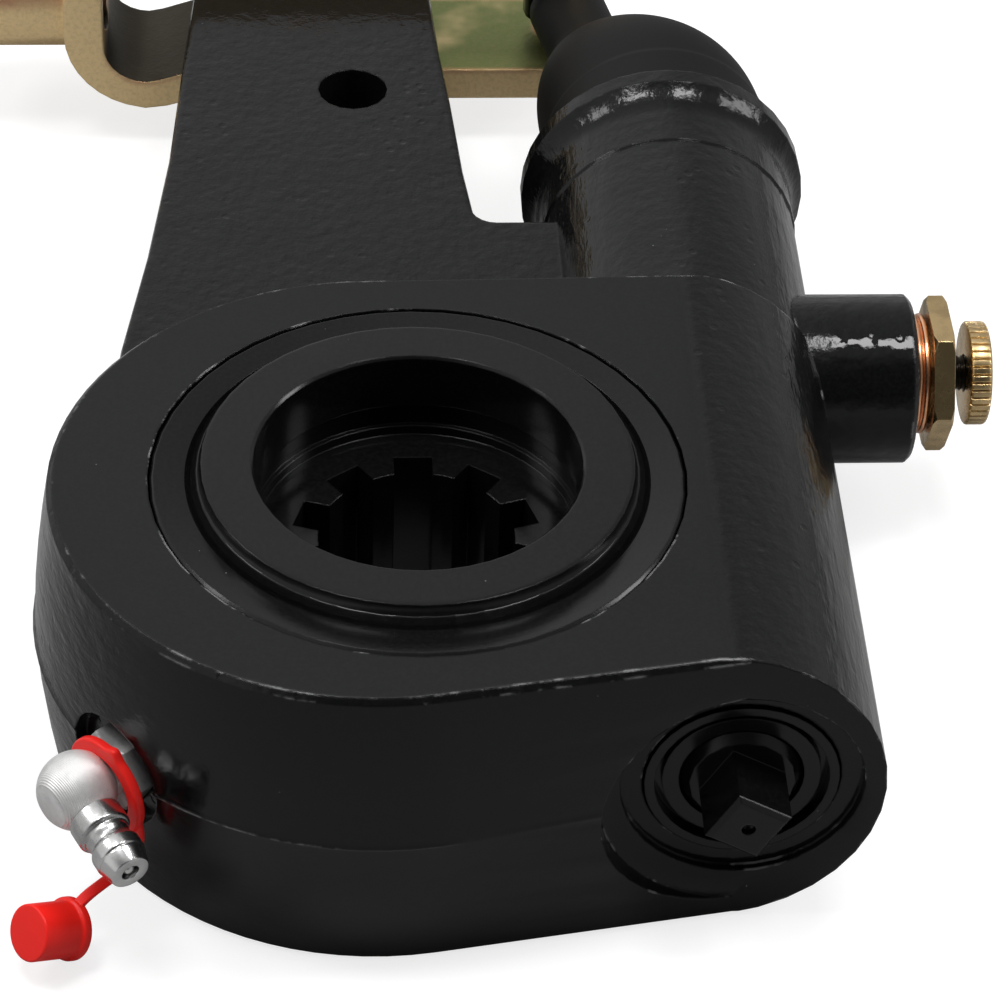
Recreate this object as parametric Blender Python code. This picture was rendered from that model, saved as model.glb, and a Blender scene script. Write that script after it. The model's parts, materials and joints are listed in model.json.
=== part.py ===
"""Automatic brake slack adjuster with a pull pawl, splined worm gear and clevis linkage.

The adjuster lies on its back face. Its gear axis is along Z and the worm axis is along Y.
Sizes are in metres. The pieces are placed about the gear axis at the machined face, and
the assembly is then set with the middle of its base at the origin.
"""

import math

import bmesh
import bpy
from mathutils import Matrix, Vector

MM = 0.001
FIT = 0.3 * MM
SEAM = 0.01 * MM
SMOOTH_ANGLE = math.radians(32)

# Housing
BODY_THICKNESS = 52.7 * MM
BODY_MIDDLE = -BODY_THICKNESS / 2
BODY_LENGTH = 160.0 * MM
RIM_CENTRE = Vector((-6.3, -0.6)) * MM
RIM_RADIUS = 49.1 * MM
RIM_BULGE = 2.9 * MM
RIM_BULGE_POWER = 1.6
RIM_START_ANGLE = 94
PARTING_RIDGE = 0.35 * MM
PARTING_HALF_WIDTH = 0.7 * MM
SIDE_X = 41.8 * MM
FRONT_FACE_Y = -41.6 * MM
BACK_FACE_Y = RIM_CENTRE.y + RIM_RADIUS + 1.1 * MM
EDGE_CHAMFER = 0.8 * MM

# Worm axis and its bores
WORM_X = 46.9 * MM
WORM_BORE_RADIUS = 14.8 * MM
WORM_WEB_RADIUS = 12.0 * MM
WORM_WEB_START = 20.0 * MM
WORM_WEB_END = 26.0 * MM
FRONT_RECESS_RADIUS = 18.1 * MM
FRONT_RECESS_DEPTH = 2.6 * MM
RECESS_MOUTH_RADIUS = 20.4 * MM
RECESS_MOUTH_DROP = 1.9 * MM
RECESS_MOUTH_SHIFT = 0.8 * MM
RECESS_MOUTH_DEPTH = 1.3 * MM

# Barrel
BARREL_X = 46.5 * MM
BARREL_RADIUS = 21.8 * MM
BARREL_START_Y = 30.0 * MM
BARREL_STEP_Y = 92.3 * MM
BARREL_STEP = 0.3 * MM
BARREL_END_Y = 110.6 * MM
BARREL_BORE_RADIUS = 16.3 * MM
BEAD_RADIUS = 24.6 * MM
BEAD_LENGTH = 10.0 * MM
BOOT_SEAT_RADIUS = 20.4 * MM
BOOT_SEAT_DEPTH = 6.0 * MM

# Arm
ARM_THICKNESS = 17.7 * MM
MAIN_PIVOT = Vector((-14.0, 172.0)) * MM
ARM_TIP_RADIUS = 21.5 * MM
ARM_EDGE_ROUND = 1.2 * MM
ARM_LEFT_EDGE = [(-40.0, 10.0), (-49.4, 22.0), (-46.2, 54.0), (-42.4, 79.0), (-39.2, 106.6), (-36.9, 140.0)]
ARM_RIGHT_EDGE = [(8.6, 140.0), (10.0, 123.8), (11.4, 103.0)]
SPARE_HOLE = Vector((-7.1, 126.7)) * MM
SPARE_HOLE_RADIUS = 6.1 * MM
WEB_EDGE_Y = 87.7 * MM
WEB_FILLET = 4.0 * MM

# Worm gear
GEAR_TEETH = 24
GEAR_MODULE = 3.0 * MM
GEAR_PITCH_RADIUS = GEAR_TEETH * GEAR_MODULE / 2
GEAR_TIP_RADIUS = GEAR_PITCH_RADIUS + 2.3 * MM
GEAR_FACE_WIDTH = 18.0 * MM
PRESSURE_ANGLE = math.radians(20)
BACKLASH = 1.2 * MM
FLANGE_RADIUS = GEAR_TIP_RADIUS + 1.9 * MM
FLANGE_THICKNESS = 4.5 * MM
HUB_RADIUS = FLANGE_RADIUS - 7.7 * MM
HUB_HEIGHT = 2.8 * MM
HUB_FILLET = 2.6 * MM
COUNTERBORE_RADIUS = 24.7 * MM
COUNTERBORE_DEPTH = 12.5 * MM
CLIP_GROOVE_TOP = 6.7 * MM
CLIP_GROOVE_BOTTOM = 10.9 * MM
CLIP_GROOVE_DEPTH = 0.8 * MM
GEAR_NECK_RADIUS = FLANGE_RADIUS - 7.2 * MM
JOURNAL_RADIUS = GEAR_NECK_RADIUS - 3.0 * MM
SPLINE_COUNT = 10
SPLINE_MAJOR_RADIUS = 19.05 * MM
SPLINE_MINOR_RADIUS = 15.0 * MM
SPLINE_WIDTH = 5.94 * MM

# Gear cavity
CAVITY_RADIUS = FLANGE_RADIUS + FIT
CAVITY_DEPTH = 44.7 * MM
REAR_RECESS_RADIUS = JOURNAL_RADIUS + 5.0 * MM
REAR_RECESS_DEPTH = 3.0 * MM
THRUST_WASHER_THICKNESS = 2.0 * MM
THRUST_WASHER_WIDTH = 7.9 * MM
SEAL_THICKNESS = 3.4 * MM
SNAP_RING_THICKNESS = 1.8 * MM
SNAP_RING_WIDTH = 3.6 * MM
SNAP_RING_BITE = 1.4 * MM
SNAP_RING_GAP = 9.0 * MM

# Worm
WORM_PITCH_RADIUS = WORM_X - GEAR_PITCH_RADIUS
WORM_TIP_RADIUS = WORM_PITCH_RADIUS + 2.1 * MM
WORM_ROOT_RADIUS = WORM_X - GEAR_TIP_RADIUS - 0.6 * MM
WORM_LEAD = math.pi * GEAR_MODULE
WORM_TURNS = 3.3
WORM_COLLAR_RADIUS = 9.0 * MM
WORM_COLLAR_Y = -38.3 * MM
WORM_SQUARE = 9.2 * MM
WORM_SQUARE_TURN = math.radians(30)
WORM_END_Y = -49.8 * MM
WORM_SHAFT_END_Y = 66.0 * MM
WORM_CENTRE_DRILL = 1.1 * MM
DRIVE_SPLINES = 6
DRIVE_MAJOR_RADIUS = 7.8 * MM
DRIVE_MINOR_RADIUS = 6.6 * MM
DRIVE_WIDTH = 3.6 * MM

# Worm seal and bush
SEAL_CASE_RADIUS = WORM_BORE_RADIUS - FIT
SEAL_CASE_LENGTH = 5.0 * MM
SEAL_CASE_STEP = 11.8 * MM
SEAL_CASE_PROUD = 1.2 * MM
WORM_BUSH_LENGTH = 7.0 * MM

# Actuator and piston
ACTUATOR_START_Y = 34.0 * MM
ACTUATOR_END_Y = 88.0 * MM
ACTUATOR_CREST_RADIUS = 15.6 * MM
ACTUATOR_ROOT_RADIUS = 14.5 * MM
ACTUATOR_TEETH = 26
ACTUATOR_TWIST = math.radians(34)
ACTUATOR_CUP_RADIUS = 11.5 * MM
ACTUATOR_CUP_START_Y = 70.0 * MM
PISTON_HEAD_RADIUS = ACTUATOR_CUP_RADIUS - FIT
PISTON_START_Y = 72.0 * MM
PISTON_SHOULDER_Y = 81.0 * MM
PISTON_NECK_RADIUS = 8.5 * MM
PISTON_END_Y = 103.0 * MM
PISTON_SLOT = 7.2 * MM
PISTON_SLOT_DEPTH = 14.0 * MM
KEEPER_THICKNESS = 1.6 * MM
KEEPER_BITE = 0.8 * MM
WRIST_Y = 98.0 * MM
WRIST_PIN_RADIUS = 2.2 * MM
WRIST_PIN_LENGTH = 15.4 * MM

# Actuator rod
ROD_PIVOT = Vector((31.8, 174.0)) * MM
ROD_RADIUS = 4.0 * MM
ROD_FOOT_RADIUS = 5.4 * MM
ROD_EYE_RADIUS = 5.8 * MM
ROD_EYE_WIDTH = 13.0 * MM
ROD_EYE_CLEARANCE = 0.8 * MM

# Boot
BOOT_WALL = 2.0 * MM
BOOT_CUP_RADIUS = BOOT_SEAT_RADIUS - FIT
BOOT_CUP_END_Y = 120.0 * MM
BOOT_DOME_POWER = 3.2
BOOT_LEAN_POWER = 2.1
BOOT_NECK_RADIUS = 7.0 * MM
BOOT_NECK_START_Y = 148.5 * MM
BOOT_NECK_END_Y = 166.5 * MM
BOOT_NECK_PLAY = 1.4 * MM

# Pawl and its boss
PAWL_Y = 56.2 * MM
BOSS_Y = 54.9 * MM
BOSS_RADIUS = 14.0 * MM
BOSS_END_X = 83.3 * MM
PAWL_RADIUS = 5.0 * MM
PAWL_TIP_CHAMFER = 3.2 * MM
PAWL_BACK_X = 70.5 * MM
PAWL_LIFT = 0.4 * MM
PAWL_STEM_RADIUS = 3.0 * MM
SCREW_RADIUS = 8.0 * MM
SCREW_START_X = 72.5 * MM
SCREW_POCKET_RADIUS = 6.0 * MM
SCREW_POCKET_END_X = 82.5 * MM
CRUSH_WASHER_RADIUS = 10.0 * MM
CRUSH_WASHER_THICKNESS = 2.4 * MM
HEX_ACROSS_FLATS = 22.4 * MM
HEX_THICKNESS = 3.4 * MM
HEX_CHAMFER = 0.9 * MM
HEX_TURN = math.radians(28)
KNOB_START_X = 92.9 * MM
KNOB_THICKNESS = 3.6 * MM
KNOB_RADIUS = 8.6 * MM
KNOB_BEVEL = 0.6 * MM
KNOB_SKIN = 1.2 * MM
KNOB_RIBS = 40
KNOB_RIB_DEPTH = 0.5 * MM
SPRING_COILS = 5
SPRING_RADIUS = 4.5 * MM
SPRING_WIRE = 0.5 * MM

# Clevis
CLEVIS_SLOT = 19.7 * MM
CLEVIS_EAR = 6.3 * MM
CLEVIS_WIDTH = 24.0 * MM
CLEVIS_BULB_X = -45.0 * MM
CLEVIS_BACK_X = -59.6 * MM
CLEVIS_WALL = 7.2 * MM
CLEVIS_BULGE = 2.0 * MM
CLEVIS_LUG_RADIUS = 9.8 * MM
CLEVIS_NECK_RADIUS = 10.2 * MM
CLEVIS_NECK_END_X = -82.0 * MM
CLEVIS_THREAD_RADIUS = 7.2 * MM

# Clevis pins
LARGE_PIN_RADIUS = 6.35 * MM
LARGE_PIN_HEAD_RADIUS = 9.0 * MM
LARGE_PIN_HEAD = 2.8 * MM
LARGE_PIN_TAIL = 7.6 * MM
SMALL_PIN_RADIUS = 3.175 * MM
SMALL_PIN_HEAD_RADIUS = 5.0 * MM
SMALL_PIN_HEAD = 1.9 * MM
SMALL_PIN_TAIL = 5.4 * MM
PIN_WASHER_THICKNESS = 1.6 * MM
ARM_BUSH_WALL = 2.6 * MM

# Grease fitting
FITTING_ANGLE = math.radians(220.3)
FITTING_Z = -27.8 * MM
FITTING_POCKET_RADIUS = 9.3 * MM
FITTING_SHANK_RADIUS = 3.7 * MM
FITTING_SHANK_LENGTH = 7.0 * MM
FITTING_HEX_FLATS = 11.0 * MM
FITTING_HEX_THICKNESS = 3.2 * MM
FITTING_NECK_RADIUS = 3.6 * MM
BALL_DISTANCE = 9.2 * MM
BALL_RADIUS = 6.0 * MM
BALL_FLAT = 0.84
NIPPLE_TURN = math.radians(32)
NIPPLE_LENGTH = 13.4 * MM
NIPPLE_SEAT_RADIUS = 2.4 * MM
NIPPLE_COLLAR_RADIUS = 4.0 * MM
NIPPLE_HEAD_RADIUS = 3.8 * MM
NIPPLE_NECK_RADIUS = 2.8 * MM
NIPPLE_BORE_RADIUS = 0.7 * MM
NIPPLE_MOUTH_RADIUS = 1.4 * MM
CAP_RADIUS = 4.3 * MM
CAP_RIM = 0.5 * MM
CAP_LENGTH = 8.4 * MM
CAP_WALL = 1.0 * MM
CAP_END_WALL = 2.0 * MM
CAP_CENTRE = Vector((-55.1, -49.2, -46.1)) * MM
CAP_WAY = Vector((-0.73, -0.52, 0.44))
CAP_STRAP_ANGLE = math.radians(20)
CAP_RING_RADIUS = 7.6 * MM
CAP_RING_THICKNESS = 1.3 * MM
CAP_STRAP_RADIUS = 0.85 * MM

# Number of flats on turned faces
GEAR_FACETS = 48
ROUND_FACETS = 36
BOOT_FACETS = 24
SMALL_FACETS = 16
TINY_FACETS = 10
SPRING_FACETS = 8
RIM_FACETS = 44
BOOT_DOME_FACETS = 8


def material(name, colour, metallic, roughness):
    """A Principled material with one colour."""
    mat = bpy.data.materials.new(name)
    mat.use_nodes = True
    shader = mat.node_tree.nodes["Principled BSDF"]
    shader.inputs["Base Color"].default_value = (*colour, 1)
    shader.inputs["Metallic"].default_value = metallic
    shader.inputs["Roughness"].default_value = roughness
    mat.diffuse_color = (*colour, 1)
    return mat


def add_object(name, bm, mat, parent, location=(0, 0, 0), turn=None):
    """Put a mesh into the scene as one named piece with smooth round faces."""
    bmesh.ops.recalc_face_normals(bm, faces=bm.faces)
    mesh = bpy.data.meshes.new(name)
    bm.to_mesh(mesh)
    bm.free()
    mesh.shade_smooth()
    mesh.set_sharp_from_angle(angle=SMOOTH_ANGLE)
    obj = bpy.data.objects.new(name, mesh)
    bpy.context.scene.collection.objects.link(obj)
    if mat:
        obj.data.materials.append(mat)
    obj.parent = parent
    obj.location = Vector(location) - body_offset(parent)
    if turn:
        obj.rotation_euler = turn
    return obj


def heal(parts):
    """Close the hairline seams that cuts leave, on every piece that has cuts."""
    for obj in parts:
        if obj.modifiers:
            weld = obj.modifiers.new("Weld", "WELD")
            weld.merge_threshold = SEAM


def body_offset(parent):
    """How far a body's empty stands from the assembly's own empty."""
    return parent.location if parent.parent else Vector((0, 0, 0))


def combine(target, bm, operation, location=(0, 0, 0), turn=None):
    """Join a shape to a piece, or cut it away, in the frame of the piece's parent."""
    tool = add_object(f"{target.name}_{operation.lower()}", bm, None, target.parent, location, turn)
    tool.hide_render = True
    tool.display_type = "WIRE"
    modifier = target.modifiers.new(operation.title(), "BOOLEAN")
    modifier.operation = operation
    modifier.solver = "EXACT"
    modifier.object = tool
    return tool


def cut(target, bm, location=(0, 0, 0), turn=None):
    """Cut a shape out of a piece."""
    return combine(target, bm, "DIFFERENCE", location, turn)


def join(target, bm, location=(0, 0, 0), turn=None):
    """Make a shape one with a piece."""
    return combine(target, bm, "UNION", location, turn)


def turned(profile, segments=SMALL_FACETS, closed=False):
    """Turn (radius, z) points about Z. A closed profile makes a ring."""
    bm = bmesh.new()
    verts = [bm.verts.new((radius, 0, z)) for radius, z in profile]
    edges = [bm.edges.new(pair) for pair in zip(verts, verts[1:])]
    if closed:
        edges.append(bm.edges.new((verts[-1], verts[0])))
    bmesh.ops.spin(
        bm, geom=verts + edges, cent=(0, 0, 0), axis=(0, 0, 1),
        angle=2 * math.pi, steps=segments, use_merge=True,
    )
    bmesh.ops.remove_doubles(bm, verts=bm.verts, dist=1e-7)
    bmesh.ops.recalc_face_normals(bm, faces=bm.faces)
    return bm


def rod(radius, start, end, segments=SMALL_FACETS, chamfer=0.0):
    """A round bar along Z with optional chamfers."""
    profile = [(0, start), (radius - chamfer, start)]
    if chamfer:
        profile += [(radius, start + chamfer), (radius, end - chamfer)]
        profile += [(radius - chamfer, end), (0, end)]
    else:
        profile += [(radius, end), (0, end)]
    return turned(profile, segments)


def ring(inner, outer, start, end, segments=ROUND_FACETS, chamfer=0.0):
    """A flat ring about Z with optional chamfers on its outer edges."""
    profile = [(inner, start), (outer - chamfer, start)]
    if chamfer:
        profile += [(outer, start + chamfer), (outer, end - chamfer)]
    else:
        profile += [(outer, end)]
    if chamfer:
        profile += [(outer - chamfer, end)]
    profile += [(inner, end)]
    return turned(profile, segments, closed=True)


def skin(bm, rings):
    """Join rings of as many vertices each with side faces, and close both ends."""
    for lower, upper in zip(rings, rings[1:]):
        for i in range(len(lower)):
            j = (i + 1) % len(lower)
            bm.faces.new((lower[i], lower[j], upper[j], upper[i]))
    bm.faces.new(rings[0][::-1])
    bm.faces.new(rings[-1])
    bmesh.ops.recalc_face_normals(bm, faces=bm.faces)
    return bm


def prism(outline, start, end, twist=0.0, layers=1):
    """Raise an XY outline along Z, turned evenly by twist about Z on the way."""
    bm = bmesh.new()
    rings = []
    for layer in range(layers + 1):
        share = layer / layers
        turn = Matrix.Rotation(twist * (share - 0.5), 3, "Z")
        height = Vector((0, 0, start + (end - start) * share))
        rings.append([bm.verts.new(turn @ Vector((x, y, 0)) + height) for x, y in outline])
    return skin(bm, rings)


def loft(layers):
    """Join XY outlines of as many points each, at the heights given with them."""
    bm = bmesh.new()
    rings = [[bm.verts.new((x, y, z)) for x, y in outline] for z, outline in layers]
    return skin(bm, rings)


def box(low, high):
    """A box between two corners."""
    outline = [(low[0], low[1]), (high[0], low[1]), (high[0], high[1]), (low[0], high[1])]
    return prism(outline, low[2], high[2])


def arc(centre, radius, start, end, steps):
    """Points on an arc, with its angles in degrees."""
    points = []
    for i in range(steps + 1):
        angle = math.radians(start + (end - start) * i / steps)
        points.append((centre[0] + radius * math.cos(angle), centre[1] + radius * math.sin(angle)))
    return points


def hexagon(across_flats, turn=0.0):
    """A hexagon's corners, with a corner on X before its turn."""
    start = math.degrees(turn)
    return arc((0, 0), across_flats / math.sqrt(3), start, start + 300, 5)


def swept(path, radius, sides):
    """A round tube along a path, with flat ends."""
    points = [Vector(point) for point in path]
    side = (points[1] - points[0]).orthogonal().normalized()
    bm = bmesh.new()
    rings = []
    for i, point in enumerate(points):
        before = points[max(i - 1, 0)]
        after = points[min(i + 1, len(points) - 1)]
        along = (after - before).normalized()
        side = (side - along * side.dot(along)).normalized()
        across = along.cross(side)
        angles = [2 * math.pi * k / sides for k in range(sides)]
        rings.append([
            bm.verts.new(point + radius * (side * math.cos(a) + across * math.sin(a))) for a in angles
        ])
    return skin(bm, rings)


def along_y(bm):
    """Lay a shape made along Z down along Y."""
    bmesh.ops.transform(bm, matrix=Matrix.Rotation(-math.pi / 2, 4, "X"), verts=bm.verts)
    return bm


def along_x(bm):
    """Lay a shape made along Z down along X."""
    bmesh.ops.transform(bm, matrix=Matrix.Rotation(math.pi / 2, 4, "Y"), verts=bm.verts)
    return bm


def splined_outline(minor, major, width, count):
    """A round outline with straight-sided keys between two radii."""
    half = width / 2
    points = []
    for i in range(count):
        turn = Matrix.Rotation(math.pi / 2 + 2 * math.pi * i / count, 2)
        low = math.sqrt(minor ** 2 - half ** 2)
        high = math.sqrt(major ** 2 - half ** 2)
        for x, y in ((low, -half), (high, -half), (high, half), (low, half)):
            points.append(tuple(turn @ Vector((x, y))))
        key_angle = math.asin(half / minor)
        pitch = 2 * math.pi / count
        for share in (1 / 3, 2 / 3):
            angle = key_angle + (pitch - 2 * key_angle) * share
            points.append(tuple(turn @ Vector((minor * math.cos(angle), minor * math.sin(angle)))))
    return points


def involute_outline():
    """The gear's outline, with a tooth space centred on +X."""
    base = GEAR_PITCH_RADIUS * math.cos(PRESSURE_ANGLE)
    thickness = math.pi * GEAR_MODULE / 2 - BACKLASH / 2
    half_at_pitch = thickness / (2 * GEAR_PITCH_RADIUS)

    def roll(radius):
        pressure = math.acos(min(1.0, base / radius))
        return math.tan(pressure) - pressure

    radii = [base, GEAR_PITCH_RADIUS, GEAR_TIP_RADIUS]
    flank = [(r, half_at_pitch + roll(GEAR_PITCH_RADIUS) - roll(r)) for r in radii]
    points = []
    for tooth in range(GEAR_TEETH):
        centre = 2 * math.pi * (tooth + 0.5) / GEAR_TEETH
        for radius, half in flank:
            points.append((radius * math.cos(centre - half), radius * math.sin(centre - half)))
        for radius, half in reversed(flank):
            points.append((radius * math.cos(centre + half), radius * math.sin(centre + half)))
    return points


def worm_thread():
    """One helical thread about Y, with its crest on the gear's side at y = 0."""
    slope = math.tan(PRESSURE_ANGLE)
    half_at_pitch = (WORM_LEAD / 2 - BACKLASH / 2) / 2
    sunk = WORM_ROOT_RADIUS - 1.0 * MM
    steps = int(WORM_TURNS * SMALL_FACETS)
    fade = SMALL_FACETS // 4
    bm = bmesh.new()
    rings = []
    for i in range(steps + 1):
        angle = 2 * math.pi * (i / SMALL_FACETS - WORM_TURNS / 2)
        grow = min(1.0, i / fade, (steps - i) / fade)
        tip = sunk + 0.2 * MM + (WORM_TIP_RADIUS - sunk - 0.2 * MM) * grow
        middle = WORM_LEAD * angle / (2 * math.pi)
        around = angle - math.pi / 2
        ring_verts = []
        for radius, sign in ((sunk, -1), (tip, -1), (tip, 1), (sunk, 1)):
            half = half_at_pitch + (WORM_PITCH_RADIUS - radius) * slope
            ring_verts.append(bm.verts.new((
                radius * math.sin(around), middle + sign * half, radius * math.cos(around),
            )))
        rings.append(ring_verts)
    return skin(bm, rings)


def ratchet_outline():
    """The actuator's saw-toothed outline."""
    points = []
    pitch = 2 * math.pi / ACTUATOR_TEETH
    for i in range(ACTUATOR_TEETH):
        for radius, share in ((ACTUATOR_ROOT_RADIUS, 0.0), (ACTUATOR_CREST_RADIUS, 0.12),
                              (ACTUATOR_CREST_RADIUS, 0.38)):
            angle = pitch * (i + share)
            points.append((radius * math.cos(angle), radius * math.sin(angle)))
    return points


def body_outline(grow, inset):
    """The housing's plan without its arm: round rim, slanted front, square back.

    The rim grows by one amount, and every edge then steps in by the other.
    """
    radius = RIM_RADIUS + grow - inset
    front = FRONT_FACE_Y + inset
    back = BACK_FACE_Y - inset
    far = WORM_X + BODY_THICKNESS
    to_corner = Vector((WORM_X, front)) - RIM_CENTRE
    bearing = math.atan2(to_corner.y, to_corner.x)
    tangent = math.degrees(bearing - math.acos(radius / to_corner.length))
    rim = arc(RIM_CENTRE, radius, RIM_START_ANGLE, 360 + tangent, RIM_FACETS)
    return rim + [(WORM_X, front), (far, front), (far, back), (WORM_X, back)]


def body_plan():
    """The housing's plan at each height: chamfered edges, bulged rim and parting ridge."""
    half = BODY_THICKNESS / 2
    layers = [(half + EDGE_CHAMFER, 0, 2 * EDGE_CHAMFER)]
    for level in (half - EDGE_CHAMFER, 0.78 * half, 0.54 * half, 0.28 * half, PARTING_HALF_WIDTH):
        layers.append((level, RIM_BULGE * (1 - (level / half) ** RIM_BULGE_POWER), 0))
    layers.append((0, RIM_BULGE + PARTING_RIDGE, 0))
    layers += [(-level, grow, inset) for level, grow, inset in reversed(layers[:-1])]
    return loft([(BODY_MIDDLE + level, body_outline(grow, inset)) for level, grow, inset in layers])


def body_section():
    """The housing's section along the worm: flat faces and a half-round side."""
    left = RIM_CENTRE.x - RIM_RADIUS - BODY_THICKNESS
    half = BODY_THICKNESS / 2
    return arc((SIDE_X, 0), half, -90, 90, 18) + [(left, half), (left, -half)]


def arm_outline():
    """The arm's plan: flared root, round tip, and the web to the barrel."""
    left = [(x * MM, y * MM) for x, y in ARM_LEFT_EDGE]
    right = [(x * MM, y * MM) for x, y in ARM_RIGHT_EDGE]
    tip = arc(MAIN_PIVOT, ARM_TIP_RADIUS, 195, -12, 18)
    corner = (12.6 * MM + WEB_FILLET, WEB_EDGE_Y + WEB_FILLET)
    web = arc(corner, WEB_FILLET, 180, 270, 5) + [(WORM_X, WEB_EDGE_Y), (WORM_X, 0), (-20 * MM, 0)]
    return (left + tip + right + web)[::-1]


def fitting_frame():
    """Where the grease fitting's axis meets the rim, and its outward direction."""
    outward = Vector((math.cos(FITTING_ANGLE), math.sin(FITTING_ANGLE), 0))
    centre = Vector((RIM_CENTRE.x, RIM_CENTRE.y, FITTING_Z))
    return centre + outward * RIM_RADIUS, outward


def make_housing(parent, mat):
    """The cast housing with its arm, barrel, pawl boss and bores."""
    section = prism(body_section(), -BODY_LENGTH / 2, BODY_LENGTH / 2)
    bmesh.ops.transform(section, matrix=Matrix.Rotation(math.pi / 2, 4, "X"), verts=section.verts)
    housing = add_object("housing", section, mat, parent, (0, 0, BODY_MIDDLE))
    plan = body_plan()
    bmesh.ops.triangulate(plan, faces=plan.faces)
    combine(housing, plan, "INTERSECT")

    arm_low = BODY_MIDDLE - ARM_THICKNESS / 2
    arm = prism(arm_outline(), arm_low, arm_low + ARM_THICKNESS)
    edges = [edge for edge in arm.edges if abs(edge.verts[0].co.z - edge.verts[1].co.z) < 1e-6]
    bmesh.ops.bevel(arm, geom=edges, offset=ARM_EDGE_ROUND, segments=2, affect="EDGES", profile=0.5)
    join(housing, arm)

    worm_place = (WORM_X, 0, BODY_MIDDLE)
    turned_radius = BARREL_RADIUS + BARREL_STEP
    rise = BEAD_RADIUS - turned_radius
    bead_start = BARREL_END_Y - BEAD_LENGTH
    fillet = [(turned_radius + rise * share ** 2, bead_start + 0.55 * BEAD_LENGTH * share)
              for share in (0, 0.3, 0.55, 0.8, 1)]
    barrel = turned([
        (0, BARREL_START_Y), (BARREL_RADIUS, BARREL_START_Y), (BARREL_RADIUS, BARREL_STEP_Y),
        (turned_radius, BARREL_STEP_Y + BARREL_STEP), *fillet,
        (BEAD_RADIUS, BARREL_END_Y - 1.3 * MM), (BEAD_RADIUS - 0.7 * MM, BARREL_END_Y - 0.4 * MM),
        (BEAD_RADIUS - 1.9 * MM, BARREL_END_Y), (0, BARREL_END_Y),
    ], ROUND_FACETS)
    join(housing, along_y(barrel), (BARREL_X, 0, BODY_MIDDLE))

    boss = turned([
        (0, WORM_X + 4 * MM), (BOSS_RADIUS, WORM_X + 4 * MM),
        (BOSS_RADIUS, BOSS_END_X - EDGE_CHAMFER), (BOSS_RADIUS - EDGE_CHAMFER, BOSS_END_X), (0, BOSS_END_X),
    ], ROUND_FACETS)
    join(housing, along_x(boss), (0, BOSS_Y, BODY_MIDDLE))

    cut(housing, rod(CAVITY_RADIUS, -CAVITY_DEPTH, 10 * MM, GEAR_FACETS))
    cut(housing, rod(JOURNAL_RADIUS + FIT, -BODY_THICKNESS - 5 * MM, -CAVITY_DEPTH + 2 * MM, ROUND_FACETS))
    rear = -BODY_THICKNESS + REAR_RECESS_DEPTH
    cut(housing, rod(REAR_RECESS_RADIUS, -BODY_THICKNESS - 5 * MM, rear, ROUND_FACETS))

    front_floor = FRONT_FACE_Y + FRONT_RECESS_DEPTH
    in_front = FRONT_FACE_Y - 30 * MM
    worm_bores = turned([
        (0, in_front), (FRONT_RECESS_RADIUS, in_front), (FRONT_RECESS_RADIUS, front_floor),
        (WORM_BORE_RADIUS, front_floor), (WORM_BORE_RADIUS, WORM_WEB_START),
        (WORM_WEB_RADIUS, WORM_WEB_START), (WORM_WEB_RADIUS, WORM_WEB_END),
        (BARREL_BORE_RADIUS, WORM_WEB_END), (BARREL_BORE_RADIUS, BARREL_END_Y - BOOT_SEAT_DEPTH),
        (BOOT_SEAT_RADIUS, BARREL_END_Y - BOOT_SEAT_DEPTH), (BOOT_SEAT_RADIUS, BARREL_END_Y + 10 * MM),
        (0, BARREL_END_Y + 10 * MM),
    ], ROUND_FACETS)
    cut(housing, along_y(worm_bores), worm_place)
    mouth = turned([
        (0, in_front), (RECESS_MOUTH_RADIUS, in_front), (RECESS_MOUTH_RADIUS, FRONT_FACE_Y),
        (RECESS_MOUTH_RADIUS - 2 * RECESS_MOUTH_DEPTH, FRONT_FACE_Y + RECESS_MOUTH_DEPTH),
        (0, FRONT_FACE_Y + RECESS_MOUTH_DEPTH),
    ], ROUND_FACETS)
    mouth_place = (WORM_X - RECESS_MOUTH_SHIFT, 0, BODY_MIDDLE - RECESS_MOUTH_DROP)
    cut(housing, along_y(mouth), mouth_place)

    pawl_bores = turned([
        (0, WORM_X), (PAWL_RADIUS + FIT, WORM_X), (PAWL_RADIUS + FIT, PAWL_BACK_X + 1 * MM),
        (SCREW_RADIUS + FIT, PAWL_BACK_X + 1 * MM), (SCREW_RADIUS + FIT, BOSS_END_X + 10 * MM),
        (0, BOSS_END_X + 10 * MM),
    ], SMALL_FACETS)
    cut(housing, along_x(pawl_bores), (0, PAWL_Y, BODY_MIDDLE))

    cut(housing, rod(SPARE_HOLE_RADIUS, -BODY_THICKNESS, 0, SMALL_FACETS), (*SPARE_HOLE, 0))
    bush_radius = LARGE_PIN_RADIUS + FIT + ARM_BUSH_WALL + FIT
    cut(housing, rod(bush_radius, -BODY_THICKNESS, 0, SMALL_FACETS), (*MAIN_PIVOT, 0))

    place, outward = fitting_frame()
    aim = outward.to_track_quat("Z", "Y").to_euler()
    cut(housing, rod(FITTING_POCKET_RADIUS, 0, 10 * MM, 24), place, aim)
    cut(housing, rod(FITTING_SHANK_RADIUS + FIT, -20 * MM, 6 * MM, SMALL_FACETS), place, aim)
    return housing


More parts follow.
